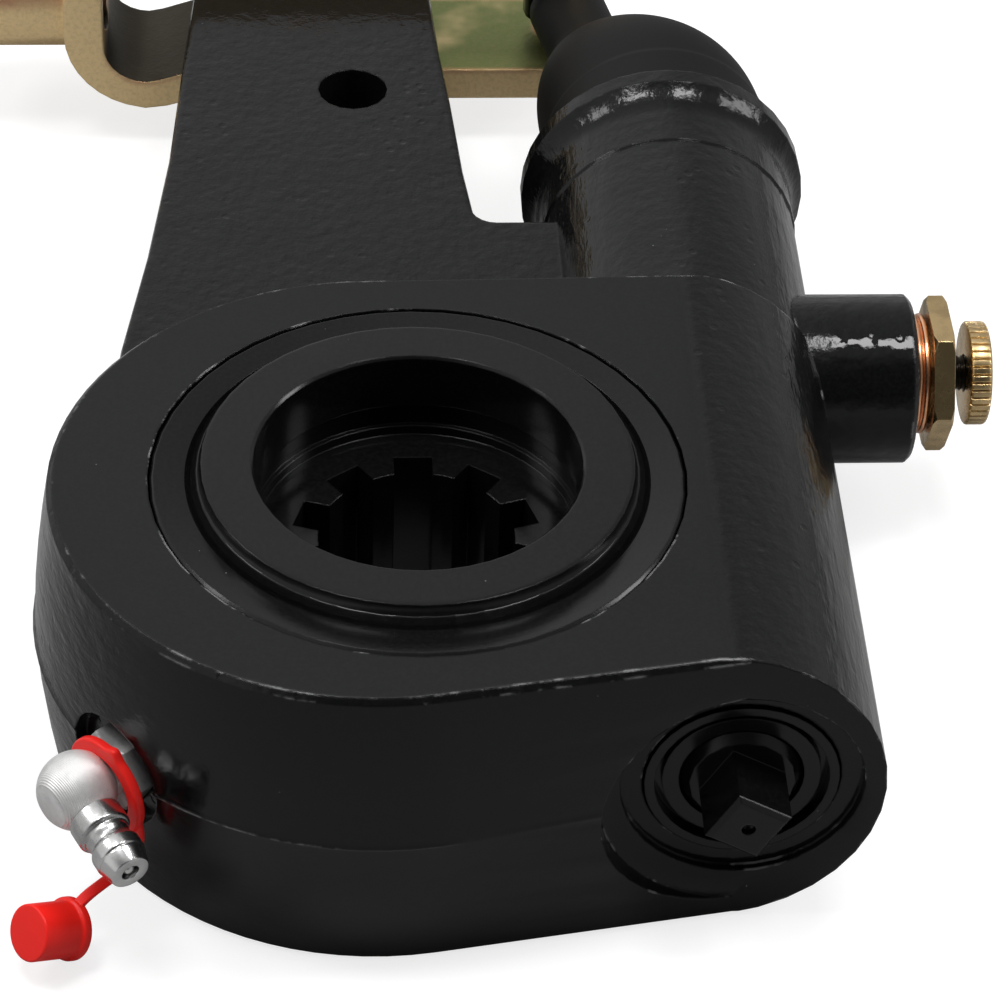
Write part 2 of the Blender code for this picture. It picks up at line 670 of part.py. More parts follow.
def make_gear(parent, gear_parent, mats):
    """The worm gear with hub, flange, teeth, journal and splined bore, and its rings."""
    shoulder = -CAVITY_DEPTH + THRUST_WASHER_THICKNESS + 2 * FIT
    rear = -BODY_THICKNESS + FIT
    groove_low = -BODY_THICKNESS + REAR_RECESS_DEPTH - 2 * FIT - SNAP_RING_THICKNESS
    groove_high = -BODY_THICKNESS + REAR_RECESS_DEPTH
    fillet = arc((HUB_RADIUS + HUB_FILLET, HUB_FILLET), HUB_FILLET, 270, 180, 4)
    bore = SPLINE_MINOR_RADIUS - 2 * MM
    core = turned([
        (bore, HUB_HEIGHT), (HUB_RADIUS - 0.6 * MM, HUB_HEIGHT), *fillet[::-1],
        (FLANGE_RADIUS - 0.5 * MM, 0), (FLANGE_RADIUS, -0.5 * MM), (FLANGE_RADIUS, -FLANGE_THICKNESS),
        (GEAR_NECK_RADIUS, -FLANGE_THICKNESS), (GEAR_NECK_RADIUS, shoulder), (JOURNAL_RADIUS, shoulder),
        (JOURNAL_RADIUS, groove_high), (JOURNAL_RADIUS - SNAP_RING_BITE - FIT, groove_high),
        (JOURNAL_RADIUS - SNAP_RING_BITE - FIT, groove_low), (JOURNAL_RADIUS, groove_low),
        (JOURNAL_RADIUS, rear), (bore, rear),
    ], GEAR_FACETS, closed=True)
    gear = add_object("worm_gear", core, mats["gear"], gear_parent)
    half = GEAR_FACE_WIDTH / 2
    lean = math.atan(WORM_LEAD / (2 * math.pi * WORM_PITCH_RADIUS))
    twist = GEAR_FACE_WIDTH * math.tan(lean) / GEAR_PITCH_RADIUS
    join(gear, prism(involute_outline(), -half, half, twist), (0, 0, BODY_MIDDLE))
    spline = splined_outline(SPLINE_MINOR_RADIUS, SPLINE_MAJOR_RADIUS, SPLINE_WIDTH, SPLINE_COUNT)
    cut(gear, prism(spline, -BODY_THICKNESS - 5 * MM, 5 * MM))
    mouth = turned([
        (0, -COUNTERBORE_DEPTH), (COUNTERBORE_RADIUS, -COUNTERBORE_DEPTH),
        (COUNTERBORE_RADIUS, -CLIP_GROOVE_BOTTOM), (COUNTERBORE_RADIUS + CLIP_GROOVE_DEPTH, -CLIP_GROOVE_BOTTOM),
        (COUNTERBORE_RADIUS + CLIP_GROOVE_DEPTH, -CLIP_GROOVE_TOP), (COUNTERBORE_RADIUS, -CLIP_GROOVE_TOP),
        (COUNTERBORE_RADIUS, HUB_HEIGHT - 0.4 * MM), (COUNTERBORE_RADIUS + 0.8 * MM, HUB_HEIGHT + 0.4 * MM),
        (0, HUB_HEIGHT + 0.4 * MM),
    ], GEAR_FACETS)
    cut(gear, mouth)

    seal_top = -FLANGE_THICKNESS - FIT
    seal = ring(GEAR_NECK_RADIUS + FIT, FLANGE_RADIUS, seal_top - SEAL_THICKNESS, seal_top)
    add_object("gear_seal", seal, mats["rubber"], parent)

    washer_low = -CAVITY_DEPTH + FIT
    washer_bore = JOURNAL_RADIUS + FIT
    washer = ring(washer_bore, washer_bore + THRUST_WASHER_WIDTH, washer_low, washer_low + THRUST_WASHER_THICKNESS)
    add_object("thrust_washer", washer, mats["bronze"], parent)

    clip_high = -BODY_THICKNESS + REAR_RECESS_DEPTH - FIT
    inner = JOURNAL_RADIUS - SNAP_RING_BITE
    clip = ring(inner, inner + SNAP_RING_WIDTH, clip_high - SNAP_RING_THICKNESS, clip_high)
    snap_ring = add_object("gear_snap_ring", clip, mats["steel"], gear_parent)
    gap = SNAP_RING_GAP / 2
    cut(snap_ring, box((-gap, -REAR_RECESS_RADIUS, -BODY_THICKNESS - 5 * MM), (gap, 0, -CAVITY_DEPTH)))


def make_worm(parent, worm_parent, mats):
    """The worm, with its square end, journals and drive splines, its seal and its bush."""
    place = (WORM_X, 0, BODY_MIDDLE)
    bush_front = WORM_COLLAR_Y + SEAL_CASE_LENGTH
    bush_end = bush_front + WORM_BUSH_LENGTH
    journal = WORM_ROOT_RADIUS + 2.6 * MM
    core = turned([
        (0, WORM_COLLAR_Y - 1.5 * MM), (WORM_COLLAR_RADIUS - 1.2 * MM, WORM_COLLAR_Y - 1.5 * MM),
        (WORM_COLLAR_RADIUS, WORM_COLLAR_Y), (WORM_COLLAR_RADIUS, bush_front),
        (journal, bush_front), (journal, bush_end + 2 * FIT),
        (WORM_TIP_RADIUS, bush_end + 2 * FIT), (WORM_TIP_RADIUS, bush_end + 2.4 * MM),
        (WORM_ROOT_RADIUS, bush_end + 5.0 * MM), (WORM_ROOT_RADIUS, WORM_WEB_START - 4.0 * MM),
        (WORM_TIP_RADIUS, WORM_WEB_START - 2.4 * MM), (WORM_TIP_RADIUS, WORM_WEB_START - FIT),
        (WORM_WEB_RADIUS - FIT, WORM_WEB_START - FIT), (WORM_WEB_RADIUS - FIT, WORM_WEB_END - 1 * MM),
        (DRIVE_MINOR_RADIUS - 0.4 * MM, WORM_WEB_END - 1 * MM), (DRIVE_MINOR_RADIUS - 0.4 * MM, WORM_WEB_END + 3 * MM),
        (0, WORM_WEB_END + 3 * MM),
    ], SMALL_FACETS)
    worm = add_object("worm", along_y(core), mats["black_steel"], worm_parent, place)
    join(worm, worm_thread(), place)
    side = WORM_SQUARE / 2
    square = prism([(-side, -side), (side, -side), (side, side), (-side, side)], WORM_END_Y, WORM_COLLAR_Y + 1 * MM)
    tips = [edge for edge in square.edges if max(v.co.z for v in edge.verts) < WORM_END_Y + 1e-6]
    bmesh.ops.bevel(square, geom=tips, offset=0.7 * MM, segments=1, affect="EDGES")
    bmesh.ops.transform(square, matrix=Matrix.Rotation(WORM_SQUARE_TURN, 4, "Z"), verts=square.verts)
    join(worm, along_y(square), place)
    keys = splined_outline(DRIVE_MINOR_RADIUS, DRIVE_MAJOR_RADIUS, DRIVE_WIDTH, DRIVE_SPLINES)
    join(worm, along_y(prism(keys, WORM_WEB_END + 1 * MM, WORM_SHAFT_END_Y)), place)
    drill_depth = WORM_END_Y + WORM_CENTRE_DRILL
    drill = turned([
        (0, WORM_END_Y - 5 * MM), (WORM_CENTRE_DRILL, WORM_END_Y - 5 * MM),
        (WORM_CENTRE_DRILL, drill_depth), (0, drill_depth + WORM_CENTRE_DRILL),
    ], TINY_FACETS)
    cut(worm, along_y(drill), place)

    case = turned([
        (WORM_COLLAR_RADIUS + FIT, WORM_COLLAR_Y - 0.4 * MM), (SEAL_CASE_STEP, WORM_COLLAR_Y - 0.4 * MM),
        (SEAL_CASE_STEP, WORM_COLLAR_Y + 1.2 * MM), (SEAL_CASE_STEP + 1.2 * MM, WORM_COLLAR_Y + 1.2 * MM),
        (SEAL_CASE_STEP + 1.2 * MM, WORM_COLLAR_Y - SEAL_CASE_PROUD),
        (SEAL_CASE_RADIUS, WORM_COLLAR_Y - SEAL_CASE_PROUD), (SEAL_CASE_RADIUS, bush_front - FIT),
        (WORM_COLLAR_RADIUS + FIT, bush_front - FIT),
    ], ROUND_FACETS, closed=True)
    add_object("worm_seal", along_y(case), mats["black_steel"], parent, place)

    bush = ring(journal + FIT, SEAL_CASE_RADIUS, bush_front, bush_end)
    add_object("worm_bush", along_y(bush), mats["bronze"], parent, place)


def make_actuator(sleeve_parent, piston_parent, rod_parent, mats):
    """The toothed sleeve on the worm's splines, the piston in it, and the rod to the clevis."""
    place = (WORM_X, 0, BODY_MIDDLE)
    sleeve = prism(ratchet_outline(), ACTUATOR_START_Y, ACTUATOR_END_Y - 6 * MM, ACTUATOR_TWIST, 3)
    actuator = add_object("actuator", along_y(sleeve), mats["gear"], sleeve_parent, place)
    collar = rod(ACTUATOR_ROOT_RADIUS - 0.4 * MM, ACTUATOR_END_Y - 10 * MM, ACTUATOR_END_Y, SMALL_FACETS)
    join(actuator, along_y(collar), place)
    keyway = splined_outline(
        DRIVE_MINOR_RADIUS + FIT, DRIVE_MAJOR_RADIUS + FIT, DRIVE_WIDTH + 2 * FIT, DRIVE_SPLINES)
    cut(actuator, along_y(prism(keyway, 20 * MM, ACTUATOR_CUP_START_Y + 2 * MM)), place)
    keeper_low = PISTON_SHOULDER_Y + FIT
    keeper_high = keeper_low + KEEPER_THICKNESS
    groove = ACTUATOR_CUP_RADIUS + KEEPER_BITE + FIT
    cup = turned([
        (0, ACTUATOR_CUP_START_Y), (ACTUATOR_CUP_RADIUS, ACTUATOR_CUP_START_Y),
        (ACTUATOR_CUP_RADIUS, keeper_low - FIT), (groove, keeper_low - FIT),
        (groove, keeper_high + FIT), (ACTUATOR_CUP_RADIUS, keeper_high + FIT),
        (ACTUATOR_CUP_RADIUS, ACTUATOR_END_Y + 5 * MM), (0, ACTUATOR_END_Y + 5 * MM),
    ], SMALL_FACETS)
    cut(actuator, along_y(cup), place)
    keeper = ring(PISTON_NECK_RADIUS + FIT, groove - FIT, keeper_low, keeper_high, SMALL_FACETS)
    piston_keeper = add_object("piston_keeper", along_y(keeper), mats["steel"], sleeve_parent, place)
    slit = 2.5 * MM
    gap_low = (WORM_X - slit, PISTON_SHOULDER_Y - 5 * MM, BODY_MIDDLE)
    gap_high = (WORM_X + slit, PISTON_SHOULDER_Y + 8 * MM, BODY_MIDDLE + 20 * MM)
    cut(piston_keeper, box(gap_low, gap_high))

    body = turned([
        (0, PISTON_START_Y), (PISTON_HEAD_RADIUS, PISTON_START_Y), (PISTON_HEAD_RADIUS, PISTON_SHOULDER_Y),
        (PISTON_NECK_RADIUS, PISTON_SHOULDER_Y), (PISTON_NECK_RADIUS, PISTON_END_Y - 0.8 * MM),
        (PISTON_NECK_RADIUS - 0.8 * MM, PISTON_END_Y), (0, PISTON_END_Y),
    ], SMALL_FACETS)
    piston = add_object("piston", along_y(body), mats["steel"], piston_parent, place)
    slot_low = (WORM_X - 12 * MM, PISTON_END_Y - PISTON_SLOT_DEPTH, BODY_MIDDLE - PISTON_SLOT / 2)
    slot_high = (WORM_X + 12 * MM, PISTON_END_Y + 5 * MM, BODY_MIDDLE + PISTON_SLOT / 2)
    cut(piston, box(slot_low, slot_high))
    wrist = (WORM_X, WRIST_Y, BODY_MIDDLE)
    cut(piston, rod(WRIST_PIN_RADIUS + FIT, -15 * MM, 15 * MM, TINY_FACETS), wrist)
    half_pin = WRIST_PIN_LENGTH / 2
    pin = rod(WRIST_PIN_RADIUS, -half_pin, half_pin, TINY_FACETS, 0.3 * MM)
    add_object("wrist_pin", pin, mats["steel"], piston_parent, wrist)

    reach = ROD_PIVOT - Vector((WORM_X, WRIST_Y))
    length = reach.length
    lean = Matrix.Rotation(math.atan2(-reach.x, reach.y), 4, "Z")
    foot_width = PISTON_SLOT - 2 * FIT
    foot = rod(ROD_FOOT_RADIUS, -foot_width / 2, foot_width / 2, 24)
    actuator_rod = add_object("actuator_rod", foot, mats["black_steel"], rod_parent, wrist, lean.to_euler())
    shank = along_y(rod(ROD_RADIUS, 3 * MM, length - 3 * MM, 24))
    join(actuator_rod, shank, wrist, lean.to_euler())
    eye = rod(ROD_EYE_RADIUS, -ROD_EYE_WIDTH / 2, ROD_EYE_WIDTH / 2, SMALL_FACETS, 0.8 * MM)
    join(actuator_rod, eye, (*ROD_PIVOT, BODY_MIDDLE))
    cheeks = ROD_RADIUS + 2 * MM
    for side in (-1, 1):
        low = foot_width / 2 if side > 0 else -cheeks
        high = cheeks if side > 0 else -foot_width / 2
        flat = box((-8 * MM, -8 * MM, low), (8 * MM, PISTON_END_Y - WRIST_Y + 8 * MM, high))
        cut(actuator_rod, flat, wrist, lean.to_euler())
    cut(actuator_rod, rod(WRIST_PIN_RADIUS + FIT, -15 * MM, 15 * MM, TINY_FACETS), wrist)
    eye_hole = rod(SMALL_PIN_RADIUS + ROD_EYE_CLEARANCE, -15 * MM, 15 * MM, 24)
    cut(actuator_rod, eye_hole, (*ROD_PIVOT, BODY_MIDDLE))


def boot_layers(cup_radius, neck_radius, dome_end):
    """Centre x, y, lean and radius of the boot's rings, from its seat to its neck's end."""
    lean = math.atan2(WORM_X - ROD_PIVOT.x, ROD_PIVOT.y - WRIST_Y)
    layers = [(WORM_X, BARREL_END_Y - BOOT_SEAT_DEPTH + FIT, 0, cup_radius)]
    for i in range(BOOT_DOME_FACETS + 1):
        share = i / BOOT_DOME_FACETS
        layers.append((
            WORM_X + (rod_x(dome_end) - WORM_X) * share ** BOOT_LEAN_POWER,
            BOOT_CUP_END_Y + (dome_end - BOOT_CUP_END_Y) * share,
            lean * share,
            neck_radius + (cup_radius - neck_radius) * (1 - share ** BOOT_DOME_POWER),
        ))
    layers.append((rod_x(BOOT_NECK_END_Y), BOOT_NECK_END_Y, lean, neck_radius))
    return layers


def rod_x(y):
    """Where the actuator rod's axis is at a height y."""
    share = (y - WRIST_Y) / (ROD_PIVOT.y - WRIST_Y)
    return WORM_X + (ROD_PIVOT.x - WORM_X) * share


def make_boot(parent, mat):
    """The rubber boot: a cup in the barrel's mouth, a dome, and a neck round the rod."""
    outer = boot_layers(BOOT_CUP_RADIUS, BOOT_NECK_RADIUS, BOOT_NECK_START_Y)
    inner = boot_layers(BOOT_CUP_RADIUS - BOOT_WALL, ROD_RADIUS + BOOT_NECK_PLAY, BOOT_NECK_START_Y - BOOT_WALL)
    bm = bmesh.new()
    loops = []
    for x, y, lean, radius in outer + inner[::-1]:
        angles = [2 * math.pi * k / BOOT_FACETS for k in range(BOOT_FACETS)]
        loops.append([
            bm.verts.new((
                x + radius * math.cos(a) * math.cos(lean), y + radius * math.cos(a) * math.sin(lean),
                BODY_MIDDLE + radius * math.sin(a),
            )) for a in angles
        ])
    for this, following in zip(loops, loops[1:] + loops[:1]):
        for k in range(BOOT_FACETS):
            j = (k + 1) % BOOT_FACETS
            bm.faces.new((this[k], this[j], following[j], following[k]))
    add_object("boot", bm, mat, parent)


def make_pawl(parent, pawl_parent, mats):
    """The pull pawl and its knob, the cap screw that holds it, its washer and spring."""
    place = (0, PAWL_Y, BODY_MIDDLE)
    tip = WORM_X + ACTUATOR_CREST_RADIUS + PAWL_LIFT
    knob_end = KNOB_START_X + KNOB_THICKNESS
    body = turned([
        (0, tip), (PAWL_RADIUS - PAWL_TIP_CHAMFER, tip), (PAWL_RADIUS, tip + PAWL_TIP_CHAMFER),
        (PAWL_RADIUS, PAWL_BACK_X), (PAWL_STEM_RADIUS, PAWL_BACK_X),
        (PAWL_STEM_RADIUS, knob_end - KNOB_SKIN), (0, knob_end - KNOB_SKIN),
    ], SMALL_FACETS)
    add_object("pawl", along_x(body), mats["black_steel"], pawl_parent, place)

    ribs = []
    for i in range(2 * KNOB_RIBS):
        radius = KNOB_RADIUS - (KNOB_RIB_DEPTH if i % 2 else 0)
        angle = math.pi * i / KNOB_RIBS
        ribs.append((radius * math.cos(angle), radius * math.sin(angle)))
    bevelled = [(x * (1 - KNOB_BEVEL / KNOB_RADIUS), y * (1 - KNOB_BEVEL / KNOB_RADIUS)) for x, y in ribs]
    disc = loft([(KNOB_START_X, ribs), (knob_end - KNOB_BEVEL, ribs), (knob_end, bevelled)])
    knob = add_object("pull_knob", along_x(disc), mats["brass"], pawl_parent, place)
    socket = rod(PAWL_STEM_RADIUS + FIT, KNOB_START_X - 5 * MM, knob_end - KNOB_SKIN + FIT, SMALL_FACETS)
    cut(knob, along_x(socket), place)

    washer_start = BOSS_END_X + FIT
    washer_end = washer_start + CRUSH_WASHER_THICKNESS
    fold = 0.5 * MM
    middle = (washer_start + washer_end) / 2
    washer = turned([
        (SCREW_RADIUS + FIT, washer_start), (CRUSH_WASHER_RADIUS - fold, washer_start),
        (CRUSH_WASHER_RADIUS, washer_start + fold), (CRUSH_WASHER_RADIUS - fold, middle),
        (CRUSH_WASHER_RADIUS, washer_end - fold), (CRUSH_WASHER_RADIUS - fold, washer_end),
        (SCREW_RADIUS + FIT, washer_end),
    ], ROUND_FACETS, closed=True)
    add_object("crush_washer", along_x(washer), mats["copper"], parent, place)

    head_start = washer_end + FIT
    head_end = head_start + HEX_THICKNESS
    screw = prism(hexagon(HEX_ACROSS_FLATS, HEX_TURN), head_start, head_end)
    cap_screw = add_object("pawl_cap_screw", along_x(screw), mats["brass"], parent, place)
    corner = HEX_ACROSS_FLATS / math.sqrt(3)
    lens = turned([
        (0, head_start - 1 * MM), (HEX_ACROSS_FLATS / 2 - 0.6 * MM, head_start - 1 * MM),
        (corner + 0.6 * MM, head_start + HEX_CHAMFER), (corner + 0.6 * MM, head_end - HEX_CHAMFER),
        (HEX_ACROSS_FLATS / 2 - 0.6 * MM, head_end + 1 * MM), (0, head_end + 1 * MM),
    ], ROUND_FACETS)
    combine(cap_screw, along_x(lens), "INTERSECT", place)
    join(cap_screw, along_x(rod(SCREW_RADIUS, SCREW_START_X, head_start + 2 * MM, SMALL_FACETS)), place)
    pocket = turned([
        (0, SCREW_START_X - 5 * MM), (SCREW_POCKET_RADIUS, SCREW_START_X - 5 * MM),
        (SCREW_POCKET_RADIUS, SCREW_POCKET_END_X), (PAWL_STEM_RADIUS + FIT, SCREW_POCKET_END_X),
        (PAWL_STEM_RADIUS + FIT, head_end + 5 * MM), (0, head_end + 5 * MM),
    ], SMALL_FACETS)
    cut(cap_screw, along_x(pocket), place)

    start = PAWL_BACK_X + FIT + SPRING_WIRE
    span = SCREW_POCKET_END_X - FIT - SPRING_WIRE - start
    steps = SPRING_COILS * SPRING_FACETS
    coil = []
    for i in range(steps + 1):
        angle = 2 * math.pi * i / SPRING_FACETS
        x = start + span * i / steps
        coil.append((x, SPRING_RADIUS * math.cos(angle), SPRING_RADIUS * math.sin(angle)))
    add_object("pawl_spring", swept(coil, SPRING_WIRE, 5), mats["steel"], parent, place)


def clevis_section():
    """The yoke's section across its pins: two ears and a bulbed closed end."""
    inner = CLEVIS_SLOT / 2
    outer = inner + CLEVIS_EAR
    end = ROD_PIVOT.x + CLEVIS_LUG_RADIUS + 2 * MM
    bulb = outer + CLEVIS_BULGE
    back = CLEVIS_BACK_X
    ear_root = CLEVIS_BULB_X + 9 * MM
    corner = bulb - 2.0 * MM
    lower = [(end, -outer), (ear_root, -outer), (CLEVIS_BULB_X + 4 * MM, -bulb + 0.5 * MM)]
    lower += [(CLEVIS_BULB_X, -bulb)]
    round_start = (back + corner, -bulb + corner)
    lower += [(x, z) for x, z in arc(round_start, corner, 262, 180, 8)]
    hollow = inner + CLEVIS_BULGE + 0.5 * MM
    wall_x = back + CLEVIS_WALL
    fillet = hollow - 4.5 * MM
    inside = [(wall_x, -hollow + fillet)]
    inside += arc((wall_x + fillet, -hollow + fillet), fillet, 190, 270, 6)
    inside += [(CLEVIS_BULB_X + 3 * MM, -hollow + 0.5 * MM), (ear_root, -inner), (end, -inner)]
    upper_outer = [(x, -z) for x, z in reversed(lower)]
    upper_inner = [(x, -z) for x, z in reversed(inside)]
    return lower + upper_outer + upper_inner + inside


def make_clevis(parent, mats):
    """The forged clevis with its two pins, washers and cotters."""
    front = MAIN_PIVOT.y - CLEVIS_WIDTH / 2
    back = MAIN_PIVOT.y + CLEVIS_WIDTH / 2
    section = prism(clevis_section(), -back, -front)
    bmesh.ops.transform(section, matrix=Matrix.Rotation(math.pi / 2, 4, "X"), verts=section.verts)
    clevis = add_object("clevis", section, mats["zinc"], parent, (0, 0, BODY_MIDDLE))
    lug = arc(ROD_PIVOT, CLEVIS_LUG_RADIUS, -75, 95, 14)
    plan = [(CLEVIS_BACK_X - 5 * MM, front - 1 * MM), (ROD_PIVOT.x - 4 * MM, front - 1 * MM)]
    plan += [(ROD_PIVOT.x - 1 * MM, front + 1 * MM)] + lug
    plan += [(ROD_PIVOT.x - 14 * MM, back + 1 * MM), (CLEVIS_BACK_X - 5 * MM, back + 1 * MM)]
    combine(clevis, prism(plan, -BODY_THICKNESS, 0), "INTERSECT")
    neck = rod(CLEVIS_NECK_RADIUS, CLEVIS_NECK_END_X, CLEVIS_BACK_X + 3 * MM, SMALL_FACETS, 0.8 * MM)
    join(clevis, along_x(neck), (0, MAIN_PIVOT.y, BODY_MIDDLE))
    thread = rod(CLEVIS_THREAD_RADIUS, CLEVIS_NECK_END_X - 5 * MM, CLEVIS_BULB_X, SMALL_FACETS)
    cut(clevis, along_x(thread), (0, MAIN_PIVOT.y, BODY_MIDDLE))
    cut(clevis, rod(LARGE_PIN_RADIUS + FIT, -BODY_THICKNESS, 0, SMALL_FACETS), (*MAIN_PIVOT, 0))
    cut(clevis, rod(SMALL_PIN_RADIUS + FIT, -BODY_THICKNESS, 0, 24), (*ROD_PIVOT, 0))

    top = BODY_MIDDLE + CLEVIS_SLOT / 2 + CLEVIS_EAR + FIT
    bottom = BODY_MIDDLE - CLEVIS_SLOT / 2 - CLEVIS_EAR
    pins = (
        ("large", MAIN_PIVOT, LARGE_PIN_RADIUS, LARGE_PIN_HEAD_RADIUS, LARGE_PIN_HEAD, LARGE_PIN_TAIL, 1.3 * MM),
        ("small", ROD_PIVOT, SMALL_PIN_RADIUS, SMALL_PIN_HEAD_RADIUS, SMALL_PIN_HEAD, SMALL_PIN_TAIL, 0.8 * MM),
    )
    for size, centre, radius, head_radius, head, tail, wire in pins:
        end = bottom - tail
        shape = turned([
            (0, end), (radius - 0.8 * MM, end), (radius, end + 0.8 * MM), (radius, top),
            (head_radius, top), (head_radius, top + head - 0.6 * MM), (head_radius - 0.6 * MM, top + head),
            (0, top + head),
        ], SMALL_FACETS)
        pin = add_object(f"{size}_clevis_pin", shape, mats["zinc"], parent, (*centre, 0))
        washer_high = bottom - FIT
        washer_low = washer_high - PIN_WASHER_THICKNESS
        disc = ring(radius + FIT, radius * 1.25 + 2.2 * MM, washer_low, washer_high, SMALL_FACETS)
        add_object(f"{size}_pin_washer", disc, mats["zinc"], parent, (*centre, 0))
        hole_z = washer_low - FIT - wire - 0.1 * MM
        cut(pin, along_y(rod(wire + FIT, -15 * MM, 15 * MM, 12)), (*centre, hole_z))
        add_object(f"{size}_cotter", cotter(radius, wire), mats["steel"], parent, (*centre, hole_z))


def cotter(pin_radius, wire):
    """A cotter through a pin along Y: a round eye in front, legs bent down behind."""
    eye = 2.4 * wire
    start = -pin_radius - 0.8 * wire
    path = []
    for i in range(11):
        angle = math.radians(60 + 300 * i / 10)
        path.append((eye * math.sin(angle), start - eye + eye * math.cos(angle), 0))
    behind = pin_radius + 1.2 * wire
    path += [(0, 0, 0), (0, behind, 0)]
    bend = 2.0 * wire
    for i in range(1, 5):
        angle = math.radians(70 * i / 4)
        path.append((bend * (1 - math.cos(angle)), behind + bend * math.sin(angle), 0))
    path.append((path[-1][0] + 2.4 * wire, path[-1][1] + 0.9 * wire, 0))
    return swept(path, wire, 8)


def make_arm_bush(parent, mat):
    """The bush in the arm's main hole."""
    inner = LARGE_PIN_RADIUS + FIT
    half = ARM_THICKNESS / 2
    bush = ring(inner, inner + ARM_BUSH_WALL, BODY_MIDDLE - half, BODY_MIDDLE + half, SMALL_FACETS, 0.4 * MM)
    add_object("arm_bush", bush, mat, parent, (*MAIN_PIVOT, 0))


def make_grease_fitting(parent, mats):
    """The elbow grease fitting, its nipple and check ball, and its strapped cap."""
    place, outward = fitting_frame()
    tilt = outward.to_track_quat("Z", "Y").to_euler()
    elbow = add_object("grease_elbow", prism(hexagon(FITTING_HEX_FLATS), FIT, FIT + FITTING_HEX_THICKNESS),
                       mats["steel"], parent, place, tilt)
    stem = rod(FITTING_SHANK_RADIUS, -FITTING_SHANK_LENGTH, 2 * MM, SMALL_FACETS)
    join(elbow, stem, place, tilt)
    join(elbow, rod(FITTING_NECK_RADIUS, 1 * MM, BALL_DISTANCE, SMALL_FACETS), place, tilt)
    ball_centre = place + outward * BALL_DISTANCE
    first = math.acos(BALL_FLAT)
    angles = [first + (math.pi - first) * i / 12 for i in range(12)]
    outline = [(BALL_RADIUS * math.sin(a), BALL_RADIUS * math.cos(a)) for a in angles]
    ball = turned([(0, BALL_RADIUS * BALL_FLAT), *outline, (0, -BALL_RADIUS)], SMALL_FACETS)
    join(elbow, ball, ball_centre, tilt)

    tangent = Vector((-outward.y, outward.x, 0))
    nipple_way = tangent * math.cos(NIPPLE_TURN) - Vector((0, 0, 1)) * math.sin(NIPPLE_TURN)
    aim = nipple_way.to_track_quat("Z", "Y").to_euler()
    seat = BALL_RADIUS - 3.0 * MM
    cut(elbow, rod(NIPPLE_SEAT_RADIUS + FIT, seat, 15 * MM, TINY_FACETS), ball_centre, aim)
    start = seat + FIT
    shoulder = BALL_RADIUS + FIT
    end = NIPPLE_LENGTH
    shape = turned([
        (NIPPLE_BORE_RADIUS, start), (NIPPLE_SEAT_RADIUS, start), (NIPPLE_SEAT_RADIUS, shoulder),
        (NIPPLE_COLLAR_RADIUS, shoulder), (NIPPLE_COLLAR_RADIUS, shoulder + 1.7 * MM),
        (NIPPLE_COLLAR_RADIUS - 0.8 * MM, shoulder + 2.2 * MM), (NIPPLE_NECK_RADIUS, end - 4.0 * MM),
        (NIPPLE_HEAD_RADIUS, end - 3.0 * MM), (NIPPLE_HEAD_RADIUS, end - 1.4 * MM),
        (NIPPLE_HEAD_RADIUS - 1.1 * MM, end), (NIPPLE_MOUTH_RADIUS, end), (NIPPLE_MOUTH_RADIUS, end - 2.1 * MM),
        (NIPPLE_BORE_RADIUS, end - 2.5 * MM),
    ], SMALL_FACETS, closed=True)
    add_object("grease_nipple", shape, mats["steel"], parent, ball_centre, aim)
    bead = bmesh.new()
    bmesh.ops.create_uvsphere(bead, u_segments=12, v_segments=8, radius=1.0 * MM)
    add_object("check_ball", bead, mats["steel"], parent, ball_centre + nipple_way * (end - 0.9 * MM), aim)

    ring_low = FIT + FITTING_HEX_THICKNESS + FIT
    ring_high = ring_low + CAP_RING_THICKNESS
    ring_bore = math.sqrt(BALL_RADIUS ** 2 - (BALL_DISTANCE - ring_high) ** 2) + FIT
    loop = ring(ring_bore, CAP_RING_RADIUS, ring_low, ring_high, SMALL_FACETS)
    cap = add_object("grease_cap", loop, mats["red"], parent, place, tilt)
    cap_way = CAP_WAY.normalized()
    cap_turn = cap_way.to_track_quat("Z", "Y").to_euler()
    half = CAP_LENGTH / 2
    cup = turned([
        (0, half), (CAP_RADIUS - 0.4 * MM, half), (CAP_RADIUS, half - 0.4 * MM), (CAP_RADIUS, -half + 1.6 * MM),
        (CAP_RADIUS + CAP_RIM, -half + 1.3 * MM), (CAP_RADIUS + CAP_RIM, -half),
        (CAP_RADIUS - CAP_WALL, -half), (CAP_RADIUS - CAP_WALL, half - CAP_END_WALL), (0, half - CAP_END_WALL),
    ], SMALL_FACETS)
    join(cap, cup, CAP_CENTRE, cap_turn)
    ring_side = tangent * math.cos(CAP_STRAP_ANGLE) - Vector((0, 0, 1)) * math.sin(CAP_STRAP_ANGLE)
    leave = place + outward * (ring_low + CAP_STRAP_RADIUS / 2) + ring_side * (CAP_RING_RADIUS - 0.8 * MM)
    cap_up = (Vector((0, 0, 1)) - cap_way * cap_way.z).normalized()
    arrive = CAP_CENTRE - cap_way * (half - 0.8 * MM) + cap_up * (CAP_RADIUS + CAP_RIM - CAP_STRAP_RADIUS)
    swing = leave + (ring_side * 2 - outward) * MM - Vector((0, 0, 8)) * MM
    approach = arrive - outward * 4 * MM + Vector((0, 0, 3)) * MM
    strap = []
    for i in range(13):
        t = i / 12
        strap.append(leave * (1 - t) ** 3 + swing * 3 * t * (1 - t) ** 2
                     + approach * 3 * t ** 2 * (1 - t) + arrive * t ** 3)
    join(cap, swept(strap, CAP_STRAP_RADIUS, 8))


